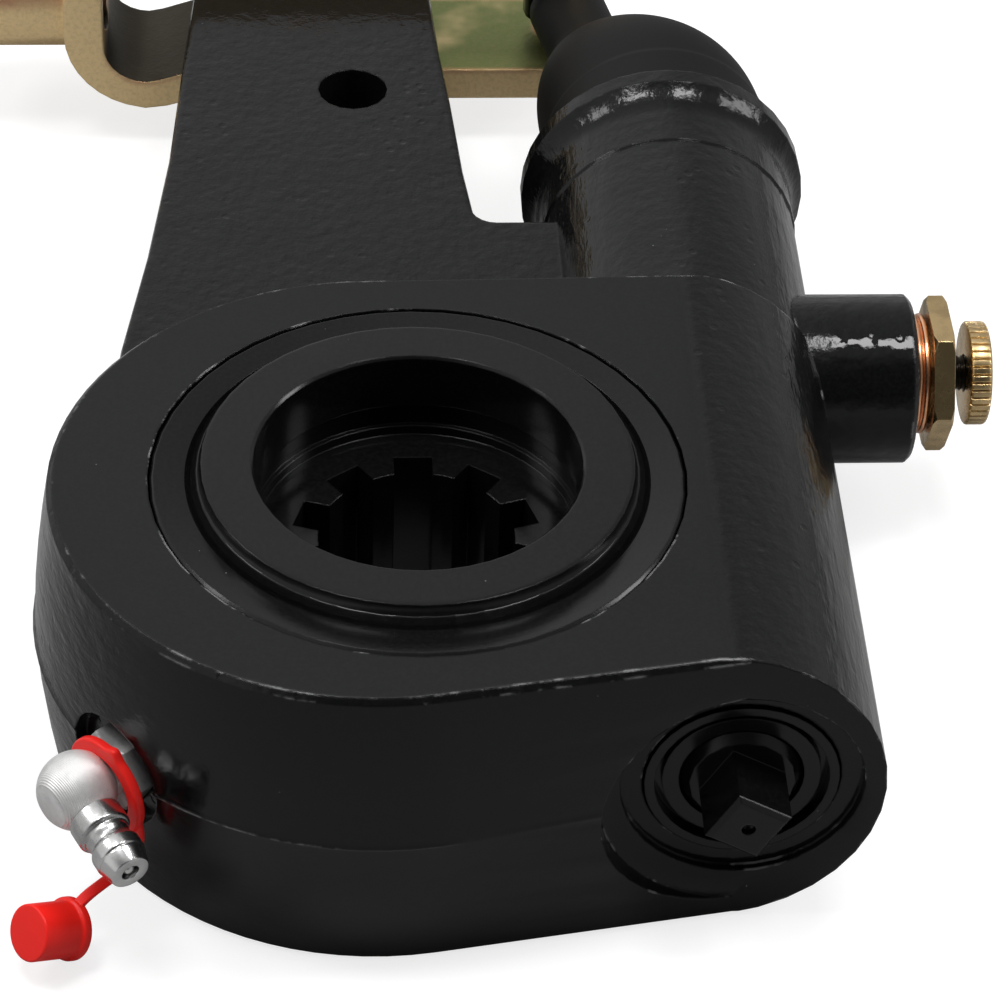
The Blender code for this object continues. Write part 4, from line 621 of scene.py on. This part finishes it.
def zinc_finish(name, colours):
    """Yellow zinc plate on a forging: green tops, tan sides, and a pink-brown band on rounded edges that is
    partly the zinc's blush and partly a painted highlight.

    Shade is painted on the wall of the slot where the arm hides it from the light.
    """
    finish = Finish(name, metallic=0.85)
    drift = finish.noise(11 * MM, 3.0, 0.55)
    sparkle = finish.noise(0.5 * MM, 3.0, 0.7)
    edge_up = finish.axis(finish.node("ShaderNodeBevel", {"samples": 4}, {"Radius": 2.2 * MM}), 2)
    # Painted highlight on top of the zinc's blush: a pink-brown band where rounded edges turn between side
    # and top
    edge_highlight_band = edge_up.ramp(0.15, 0.4) * (1.0 - edge_up.ramp(0.75, 0.93))
    top = finish.blend(drift.ramp(0.2, 0.5), colours.zinc_tan, colours.zinc_green)
    base = finish.blend(edge_up.ramp(0.7, 0.95), colours.zinc_tan, top)
    blush_and_highlight = finish.blend(edge_highlight_band * finish.noise(4 * MM).ramp(0.3, 0.6, 0.45, 0.9), base, colours.zinc_pink_highlight)
    speckled = finish.blend(sparkle.ramp(0.4, 0.7, 0.0, 0.22), blush_and_highlight, shade(colours.zinc_tan, 0.45))
    facing = finish.node("ShaderNodeNewGeometry", out="Normal")
    from_middle = finish.axis(facing, 2) * (finish.axis(finish.at(), 2) - MIDDLE_Z)
    left = (finish.axis(finish.at(), 0) - PAINTED_SHADE_X).ramp(0.0, 8 * MM, 1.0, 0.0)
    inward = from_middle.ramp(-3 * MM, -0.5 * MM, 1.0, 0.0)
    across = finish.axis(facing, 1).size().ramp(0.3, 0.7, 1.0, 0.0)
    # Painted shade: the slot's inner wall left of the arm is darkened to a shaded zinc colour
    tone = finish.blend(left * inward * across, speckled, PAINTED_SHADE_ZINC)
    normal = finish.bump((finish.noise(2.0 * MM, 3.0, 0.6), 0.08 * MM), (sparkle, 0.03 * MM), edge=0.6 * MM)
    return finish.set(base_color=tone, roughness=0.34 + sparkle * 0.14, normal=normal)


def boot_skin(sizes, steps=144):
    """The boot's outer and inner skin as one closed profile along a bending axis.

    Share runs from 0 at the cup's end to 1 at the neck's start. The radius there is
    neck + (cup - neck) * (1 - share ** 3.2), less a step just past the cup; the centre leaves the worm's
    axis by share ** 2.1 and the rings tilt by share of the rod's lean. Past that the neck follows the rod.
    """
    cup, neck, wall = sizes.boot_radius, sizes.boot_neck, sizes.boot_wall
    lean = math.atan2(WRIST[0] - SMALL_PIN[0], SMALL_PIN[1] - WRIST[1])

    def rod_x(y):
        return WRIST[0] + (SMALL_PIN[0] - WRIST[0]) * (y - WRIST[1]) / (SMALL_PIN[1] - WRIST[1])

    def rows(cup_radius, neck_radius, dome_end, step, end_cut):
        share = np.linspace(0, 1, 48)
        dome_y = BOOT_CUP_END + (dome_end - BOOT_CUP_END) * share
        drop = step * np.clip((dome_y - BOOT_STEP_Y) / (0.5 * MM), 0, 1) * (1 - share) ** 0.5
        dome_radius = neck_radius + (cup_radius - neck_radius) * (1 - share ** BOOT_DOME_POWER) - drop
        dome_x = WORM_X + (rod_x(dome_end) - WORM_X) * share ** BOOT_LEAN_POWER
        cup_y = np.linspace(BOOT_SEAT_Y, BOOT_CUP_END, 8)[:-1]
        neck_y = np.array([*np.linspace(dome_end, BOOT_NECK_END - 0.8 * MM, 8)[1:], BOOT_NECK_END])
        neck_cut = np.where(neck_y > BOOT_NECK_END - 0.1 * MM, end_cut, 0)
        y = np.concatenate([cup_y, dome_y, neck_y])
        x = np.concatenate([WORM_X + 0 * cup_y, dome_x, rod_x(neck_y)])
        radius = np.concatenate([cup_radius + 0 * cup_y, dome_radius, neck_radius - neck_cut])
        tilt = np.concatenate([0 * cup_y, lean * share, lean + 0 * neck_y])
        return np.stack([x, y, radius, tilt], axis=-1)

    outer = rows(cup, neck, BOOT_NECK_START, sizes.boot_step, 0.6 * MM)
    inner = rows(cup - wall, ROD_RADIUS + BOOT_PLAY, BOOT_NECK_START - wall, 0.0, 0.0)
    x, y, radius, tilt = np.concatenate([outer, inner[::-1]]).T[..., None]
    angles = np.linspace(0, 2 * np.pi, steps, endpoint=False)
    across, lift = radius * np.cos(angles), radius * np.sin(angles)
    return np.stack([x + across * np.cos(tilt), y + across * np.sin(tilt), MIDDLE_Z + lift], axis=-1)


def knob_skin(sizes):
    """The pull knob: a disc whose rim dips by a groove between ribs.

    Rim radius = 8.6 mm less 0.55 mm * (1 - 1.7 * |sin(ribs * angle / 2)|) squared, where that is positive.
    """
    ribs = sizes.knob_ribs
    steps = ribs * 12
    profile = np.array([
        (0, 95.6, 0), (3.2, 95.6, 0), (3.2, 92.9, 0), (8.0, 92.9, 0), (8.35, 92.97, 0.6), (8.55, 93.15, 1),
        (8.6, 93.3, 1), (8.6, 95.8, 1), (8.52, 96.05, 1), (8.3, 96.3, 0.8), (7.9, 96.45, 0.3), (7.4, 96.5, 0),
        (0, 96.5, 0)])
    angles = np.linspace(0, 2 * np.pi, steps, endpoint=False)
    groove = np.clip(1 - 1.7 * np.abs(np.sin(ribs * angles / 2)), 0, 1) ** 2
    radius = profile[:, :1] - 0.55 * profile[:, 2:] * groove
    return turned(radius * MM, profile[:, 1] * MM, PAWL_BASE, (1, 0, 0), steps)


def pawl_skin(sizes, steps=32):
    """The pawl with its threaded stem: the stem's radius falls by 0.4 mm * |2 * turn - 1| along the helix.

    Turn is the fractional part of height / pitch - angle / full circle.
    """
    thread = np.linspace(71.2, 93.6, int(22.4 * MM / sizes.thread_pitch) * 10)
    head = np.array([(0, 62.9), (1.8, 62.9), (4.9, 66.0), (5.0, 66.2), (5.0, 70.4), (4.9, 70.5), (3.0, 70.5)])
    end = np.array([(3.0, 95.3), (0, 95.3)])
    height = np.concatenate([head[:, 1], thread, end[:, 1]])
    angles = np.linspace(0, 2 * np.pi, steps, endpoint=False)
    turn = (thread[:, None] * MM / sizes.thread_pitch - angles / (2 * np.pi)) % 1.0
    thread_radius = 3.0 - 0.4 * np.abs(2 * turn - 1)
    whole = np.ones((1, steps))
    radius = np.concatenate([head[:, :1] * whole, thread_radius, end[:, :1] * whole])
    return turned(radius * MM, height * MM, PAWL_BASE, (1, 0, 0), steps)


def washer_profile():
    """The folded washer's section: two round folds side by side, each 0.6 mm in radius."""
    fold = np.radians(np.linspace(-90, 78, 12))
    first = np.stack([9.4 + 0.6 * np.cos(fold), 84.2 + 0.6 * np.sin(fold)], axis=-1)
    second = np.stack([first[::-1, 0], 169.6 - first[::-1, 1]], axis=-1)
    return np.concatenate([[(8.3, 83.6)], first, second, [(8.3, 86.0)]])


def hexagon_skin(across_flats, low, high, base, way, steps=144):
    """A hexagon between two heights: half its flats / cos(angle to the flat), cut by a cone at its top."""
    angles = np.linspace(0, 2 * np.pi, steps, endpoint=False)
    flat = 0.5 * across_flats / np.cos((angles % (np.pi / 3)) - np.pi / 6)
    height = np.array([low, low, high - 0.9, high - 0.6, high - 0.3, high, high]) * MM
    share = np.array([0, 1, 1, 1, 1, 1, 0])[:, None]
    cone = 0.5 * across_flats + 0.05 + np.array([2, 2, 2, 0.9, 0.45, 0.1, 0.1])[:, None]
    return turned(np.minimum(flat, cone) * share * MM, height, base, way, steps)


class ADJUSTER_OT_casting(bpy.types.Operator):
    """Paint the housing."""

    bl_idname = "adjuster.casting"
    bl_label = "Casting"

    def execute(self, context):
        scene = context.scene
        paint = paint_finish("casting_paint", scene.adjuster_colours, scene.adjuster_sizes)
        smooth_copy("housing", paint, "housing", "black_paint")
        return {"FINISHED"}


class ADJUSTER_OT_gear(bpy.types.Operator):
    """Finish the worm gear."""

    bl_idname = "adjuster.gear"
    bl_label = "Worm gear"

    def execute(self, context):
        colours = context.scene.adjuster_colours
        oxide = machined_finish("gear_black", colours.oxide, GEAR_AXIS, dish=0.2)
        smooth_copy("worm_gear", oxide, "gear", "black_oxide")
        return {"FINISHED"}


class ADJUSTER_OT_worm(bpy.types.Operator):
    """Finish the worm, its seal, the toothed sleeve that turns it and the rod."""

    bl_idname = "adjuster.worm"
    bl_label = "Worm"

    def execute(self, context):
        colours = context.scene.adjuster_colours
        black = machined_finish("worm_black", shade(colours.oxide, 0.8), (WORM_X, 0.0, MIDDLE_Z), axis=1)
        smooth_copy("worm", black, "worm", "black_steel")
        smooth_copy("worm_seal", black, "housing", "black_steel")
        smooth_copy("actuator_rod", black, "rod", "black_steel")
        smooth_copy("actuator", black, "actuator", "black_oxide")
        return {"FINISHED"}


class ADJUSTER_OT_pawl(bpy.types.Operator):
    """Make the pawl, its ribbed knob and folded washer, and finish its cap screw."""

    bl_idname = "adjuster.pawl"
    bl_label = "Pull pawl"

    def execute(self, context):
        colours, sizes = context.scene.adjuster_colours, context.scene.adjuster_sizes
        brass = metal_finish("brass_turned", colours.brass, roughness=0.2, tarnish=0.35)
        copper = metal_finish("copper_folded", colours.copper, roughness=0.15, tarnish=0.3)
        black = machined_finish("pawl_black", colours.oxide, tuple(PAWL_BASE), axis=0)
        along = (1, 0, 0)
        smooth_copy("pawl_cap_screw", brass, "housing", "brass", smooth_angle=20)
        knob = shell("knob", knob_skin(sizes))
        add_piece("knob", knob, brass, "pawl", "brass", "pull_knob", smooth_angle=38)
        washer = shell("folded_washer", lathe(washer_profile(), PAWL_BASE, along, 128), along=(0,))
        add_piece("folded_washer", washer, copper, "housing", "copper", "crush_washer", smooth_angle=60)
        stem = shell("threaded_pawl", pawl_skin(sizes))
        add_piece("threaded_pawl", stem, black, "pawl", "black_steel", "pawl", smooth_angle=50)
        return {"FINISHED"}


class ADJUSTER_OT_fitting(bpy.types.Operator):
    """Make the grease fitting and its strapped cap."""

    bl_idname = "adjuster.fitting"
    bl_label = "Grease fitting"

    def execute(self, context):
        colours = context.scene.adjuster_colours
        turned_steel = metal_finish(
            "fitting_steel", colours.steel, roughness=0.4, tarnish=0.25, depth=0.05 * MM, lines=turning_lines,
            metallic=0.6)
        steel = metal_finish("nipple_steel", shade(colours.steel, 0.72), roughness=0.17, tarnish=0.35)
        dull = metal_finish(
            "hexagon_steel", shade(colours.steel, 0.6), roughness=0.4, tarnish=0.5, depth=0.02 * MM,
            metallic=0.55)
        red = plastic_finish("cap_plastic", colours.red)
        add_piece("fitting_body", self.body(), turned_steel, "housing", "bright_steel", "grease_elbow")
        skin = hexagon_skin(across_flats=11.4, low=0.2, high=3.5, base=FITTING_SEAT, way=OUTWARD)
        hexagon = shell("fitting_hexagon", skin)
        add_piece("fitting_hexagon", hexagon, dull, "housing", "bright_steel", "grease_elbow")
        add_piece("nipple", self.nipple(), steel, "housing", "bright_steel", "grease_nipple", smooth_angle=40)
        add_piece("nipple_ball", self.ball(), steel, "housing", "bright_steel", "check_ball", smooth_angle=60)
        add_piece("strapped_cap", self.cap(), red, "housing", "red_plastic", "grease_cap", smooth_angle=50)
        return {"FINISHED"}

    def body(self):
        """The shank, neck and ball with its turned flat, about the fitting's axis."""
        around = np.radians(np.linspace(143.1, 32.9, 30))
        sphere = np.stack([BALL_RADIUS * np.sin(around), BALL_HEIGHT + BALL_RADIUS * np.cos(around)], axis=-1)
        shank = [(0, -7), (3.2, -7), (3.7, -6.5), (3.7, 0), (3.6, 1)]
        profile = np.concatenate([shank, sphere, [(0, 14.24)]])
        return shell("fitting_body", lathe(profile, FITTING_SEAT, OUTWARD, 120))

    def nipple(self):
        """The nipple: collar, waist, bevelled head and mouth, about its own axis from the ball's middle."""
        profile = rounded([
            (0.7, 3.3), (2.4, 3.3), (2.4, 5.3), (3.9, 5.5), (4.15, 5.8), (4.15, 8.8), (3.9, 9.1), (3.45, 9.2),
            (3.45, 9.9), (3.2, 10.6), (3.2, 11.2), (3.7, 11.8), (3.85, 12.2), (3.85, 14.0), (3.6, 14.25),
            (3.7, 14.5), (2.95, 16.9), (1.35, 16.9), (1.35, 14.5), (0.7, 14.1)], 0.16, 3, closed=True)
        return shell("nipple", lathe(profile, BALL_CENTRE, NIPPLE_WAY, 96), along=(0,))

    def ball(self):
        """The check ball in the nipple's mouth: a sphere 1 mm in radius."""
        around = np.linspace(np.pi, 0, 20)
        profile = np.stack([np.sin(around), 15.7 + np.cos(around)], axis=-1)
        return shell("nipple_ball", lathe(profile, BALL_CENTRE, NIPPLE_WAY, 32))

    def cap(self):
        """The cap's cup, the ring round the neck with its tab, and the flat strap between them."""
        cup = rounded([
            (0, 4.2), (4.3, 4.2), (4.3, -2.6), (4.8, -2.9), (4.8, -4.2), (3.3, -4.2), (3.3, 2.2), (0, 2.2),
        ], 0.4, 5)
        cup_grid = lathe(cup, CAP_CENTRE, CAP_WAY, 96)
        ring = rounded([(5.4, 3.8), (8.0, 3.8), (8.0, 5.3), (5.4, 5.3)], 0.5, 5, closed=True) * MM
        angles = np.linspace(0, 2 * np.pi, 144, endpoint=False)
        tab = 1.0 * MM * np.exp(-(((angles - math.radians(75) + np.pi) % (2 * np.pi) - np.pi) / 0.13) ** 2)
        outer = np.clip((ring[:, :1] - 6.9 * MM) / (1.1 * MM), 0, 1)
        ring_grid = turned(ring[:, :1] + outer * tab, ring[:, 1], FITTING_SEAT + RING_DROP, OUTWARD, 144)
        side = TANGENT * math.cos(STRAP_ANGLE) - UP * math.sin(STRAP_ANGLE)
        leave = FITTING_SEAT + RING_DROP + OUTWARD * 4.5 * MM + side * 7.0 * MM
        cap_up = unit(UP - CAP_WAY * CAP_WAY[2])
        arrive = CAP_CENTRE - CAP_WAY * 3.5 * MM + cap_up * 4.2 * MM
        swing = leave + (side * 2 - OUTWARD - UP * 8) * MM
        approach = arrive + (UP * 3 - OUTWARD * 4) * MM
        path = bezier((leave, swing, approach, arrive), 40)
        corner = np.array([(-0.85, -0.45), (0.85, -0.45), (0.85, 0.45), (-0.85, 0.45)]) * MM
        strap_grid = swept(path, rounded(corner, 0.25 * MM, 3, closed=True), OUTWARD)
        return shell("strapped_cap", cup_grid, ring_grid, strap_grid, along=(1,))


class ADJUSTER_OT_clevis(bpy.types.Operator):
    """Plate the clevis, its pins, washers and cotters."""

    bl_idname = "adjuster.clevis"
    bl_label = "Clevis"

    def execute(self, context):
        colours = context.scene.adjuster_colours
        zinc = zinc_finish("zinc_plate", colours)
        steel = metal_finish("cotter_steel", colours.steel, roughness=0.25)
        plated = ("clevis", "large_clevis_pin", "small_clevis_pin", "large_pin_washer", "small_pin_washer")
        for node in plated:
            smooth_copy(node, zinc, "clevis", "yellow_zinc")
        for node in ("large_cotter", "small_cotter"):
            smooth_copy(node, steel, "clevis", "bright_steel", smooth_angle=50)
        return {"FINISHED"}


class ADJUSTER_OT_inner(bpy.types.Operator):
    """Finish the pieces inside the housing."""

    bl_idname = "adjuster.inner"
    bl_label = "Inner pieces"

    def execute(self, context):
        colours = context.scene.adjuster_colours
        bronze = metal_finish("bearing_bronze", BRONZE, roughness=0.3)
        steel = metal_finish("inner_steel", colours.steel, roughness=0.3)
        rubber = rubber_finish("seal_rubber", colours.rubber)
        finishes = {
            "arm_bush": bronze, "worm_bush": bronze, "thrust_washer": bronze, "gear_seal": rubber,
            "gear_snap_ring": steel, "piston": steel, "piston_keeper": steel, "wrist_pin": steel,
        }
        for node, material in finishes.items():
            for slot in frame["nodes"][node].material_slots:
                slot.material = material
        self.spring(steel)
        return {"FINISHED"}

    def spring(self, steel):
        """The pawl's spring as one smooth piece with a mesh of its own; its shortening by the pull is not
        made here.
        """
        spring = smooth_copy("pawl_spring", steel, "housing", "bright_steel")
        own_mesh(spring)


class ADJUSTER_OT_boot(bpy.types.Operator):
    """Mould the rubber boot between the barrel and the rod."""

    bl_idname = "adjuster.boot"
    bl_label = "Boot"

    def execute(self, context):
        scene = context.scene
        rubber = rubber_finish("boot_rubber", scene.adjuster_colours.rubber)
        mesh = shell("boot_skin", boot_skin(scene.adjuster_sizes), along=(0,))
        boot = add_piece("boot_skin", mesh, rubber, None, "black_rubber", "boot", smooth_angle=60)
        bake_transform(boot)
        return {"FINISHED"}


class ADJUSTER_OT_stage(bpy.types.Operator):
    """Set the floor, lamps, world and camera."""

    bl_idname = "adjuster.stage"
    bl_label = "Stage"

    def execute(self, context):
        stage = context.scene.adjuster_stage
        self.floor(stage)
        self.world()
        self.lamps()
        self.camera(context, stage)
        context.scene.view_settings.view_transform = "Standard"
        return {"FINISHED"}

    def seen(self, nodes):
        """Two wires: 1 on rays from the camera, and 1 on rays off a mirror or through glass."""
        camera, glossy, passing = (nodes.node("ShaderNodeLightPath", out=name) for name in (
            "Is Camera Ray", "Is Glossy Ray", "Is Transmission Ray"))
        return camera, glossy.sum("MAXIMUM", glossy, passing)

    def floor(self, stage):
        """A pale floor that the camera sees as white outside the object's shadow."""
        mesh = bpy.data.meshes.new("floor")
        mesh.from_pydata([(-2, -2, 0), (2, -2, 0), (2, 2, 0), (-2, 2, 0)], [], [(0, 1, 2, 3)])
        finish = Finish("floor_paper", roughness=0.9, specular_ior_level=0.0)
        camera, mirrored = self.seen(finish)
        mottle = finish.noise(20 * MM)
        finish.set(base_color=finish.blend(mottle, stage.floor, shade(stage.floor, 0.99)))
        glow = camera * FLOOR_GLOW + mirrored * FLOOR_MIRRORED
        light = finish.node("ShaderNodeEmission", None, {"Color": (1, 1, 1), "Strength": glow})
        both = finish.node("ShaderNodeAddShader", None, {0: Wire(finish, finish.shader.outputs[0]), 1: light})
        finish.put(finish.tree.nodes["Material Output"].inputs["Surface"], both)
        floor = bpy.data.objects.new("floor", mesh)
        bpy.context.scene.collection.objects.link(floor)
        mesh.materials.append(finish.material)

    def world(self):
        """A pale surround: white to the camera, darker where the room opens and on the right of mirrors."""
        world = bpy.data.worlds.new("surround")
        bpy.context.scene.world = world
        world.use_nodes = True
        nodes = Nodes(world.node_tree)
        camera, mirrored = self.seen(nodes)
        way = nodes.node("ShaderNodeTexCoord", out="Generated")
        front = nodes.node("ShaderNodeVectorMath", {"operation": "DOT_PRODUCT"}, {0: way, 1: ROOM_WAY}, 1)
        room = front.ramp(0.70, 0.95)
        side = nodes.axis(way, 0).ramp(-0.1, 0.3)
        level = SURROUND_LIGHT + mirrored * (MIRROR_LIGHT - MIRROR_LOSS * side)
        strength = camera + (1.0 - camera) * level * (1.0 - ROOM_LOSS * room)
        background = world.node_tree.nodes["Background"]
        nodes.put(background.inputs["Color"], (1, 1, 1))
        nodes.put(background.inputs["Strength"], strength)

    def lamps(self):
        """Soft boxes, two overhead and one high on each side: place and size in millimetres, and watts."""
        boxes = (
            ("overhead_left", (-210, -30, 800), (180, 220), 2.6),
            ("overhead_right", (270, 10, 800), (180, 220), 2.6),
            ("left", (-560, 150, 560), (260, 200), 1.6),
            ("right", (600, 60, 380), (160, 320), 1.5),
        )
        aim = place(10, 40, -26)
        for name, centre, size, power in boxes:
            data = bpy.data.lights.new(name, "AREA")
            data.shape = "RECTANGLE"
            data.size, data.size_y = (side * MM for side in size)
            data.energy = power
            lamp = bpy.data.objects.new(name, data)
            bpy.context.scene.collection.objects.link(lamp)
            lamp.location = place(*centre)
            lamp.rotation_euler = (lamp.location - aim).to_track_quat("Z", "Y").to_euler()

    def camera(self, context, stage):
        """The camera from its angles: back is the way from the target to the camera."""
        elevation, azimuth, roll = stage.elevation, stage.azimuth, stage.roll
        level = math.cos(elevation)
        back = Vector((math.sin(azimuth) * level, -math.cos(azimuth) * level, math.sin(elevation)))
        right = (-back).cross(Vector((0, 0, 1))).normalized()
        up = right.cross(-back)
        turned_right = right * math.cos(roll) + up * math.sin(roll)
        turned_up = up * math.cos(roll) - right * math.sin(roll)
        data = bpy.data.cameras.new("camera")
        data.sensor_width = 36.0
        data.lens = stage.lens
        data.clip_start = 0.01
        camera = bpy.data.objects.new("camera", data)
        context.scene.collection.objects.link(camera)
        target = place(*(side / MM for side in stage.target))
        matrix = Matrix((turned_right, turned_up, back)).transposed().to_4x4()
        matrix.translation = target + back * stage.distance
        camera.matrix_world = matrix
        context.scene.camera = camera


class ADJUSTER_PT_panel(bpy.types.Panel):
    """Buttons for each group of pieces."""

    bl_idname = "ADJUSTER_PT_panel"
    bl_label = "Adjuster"
    bl_space_type = "VIEW_3D"
    bl_region_type = "UI"
    bl_category = "Adjuster"

    def draw(self, context):
        for operator in OPERATORS:
            self.layout.operator(operator.bl_idname)
        scene = context.scene
        for group in (scene.adjuster_colours, scene.adjuster_sizes, scene.adjuster_stage):
            for name in group.bl_rna.properties.keys():
                if name not in ("rna_type", "name"):
                    self.layout.prop(group, name)


GROUPS = (AdjusterColours, AdjusterSizes, AdjusterStage)
OPERATORS = (
    ADJUSTER_OT_stage, ADJUSTER_OT_casting, ADJUSTER_OT_gear, ADJUSTER_OT_worm, ADJUSTER_OT_pawl,
    ADJUSTER_OT_fitting, ADJUSTER_OT_clevis, ADJUSTER_OT_inner, ADJUSTER_OT_boot,
)


def register():
    """Register the classes and hang the settings on the scene."""
    for cls in GROUPS + OPERATORS + (ADJUSTER_PT_panel,):
        bpy.utils.register_class(cls)
    bpy.types.Scene.adjuster_colours = bpy.props.PointerProperty(type=AdjusterColours)
    bpy.types.Scene.adjuster_sizes = bpy.props.PointerProperty(type=AdjusterSizes)
    bpy.types.Scene.adjuster_stage = bpy.props.PointerProperty(type=AdjusterStage)


def unregister():
    """Take the settings off the scene and the classes out."""
    del bpy.types.Scene.adjuster_stage
    del bpy.types.Scene.adjuster_sizes
    del bpy.types.Scene.adjuster_colours
    for cls in (ADJUSTER_PT_panel,) + OPERATORS[::-1] + GROUPS[::-1]:
        bpy.utils.unregister_class(cls)


def main():
    """Register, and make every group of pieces."""
    register()
    for operator in OPERATORS:
        group, name = operator.bl_idname.split(".")
        getattr(getattr(bpy.ops, group), name)()


if __name__ == "__main__":
    main()
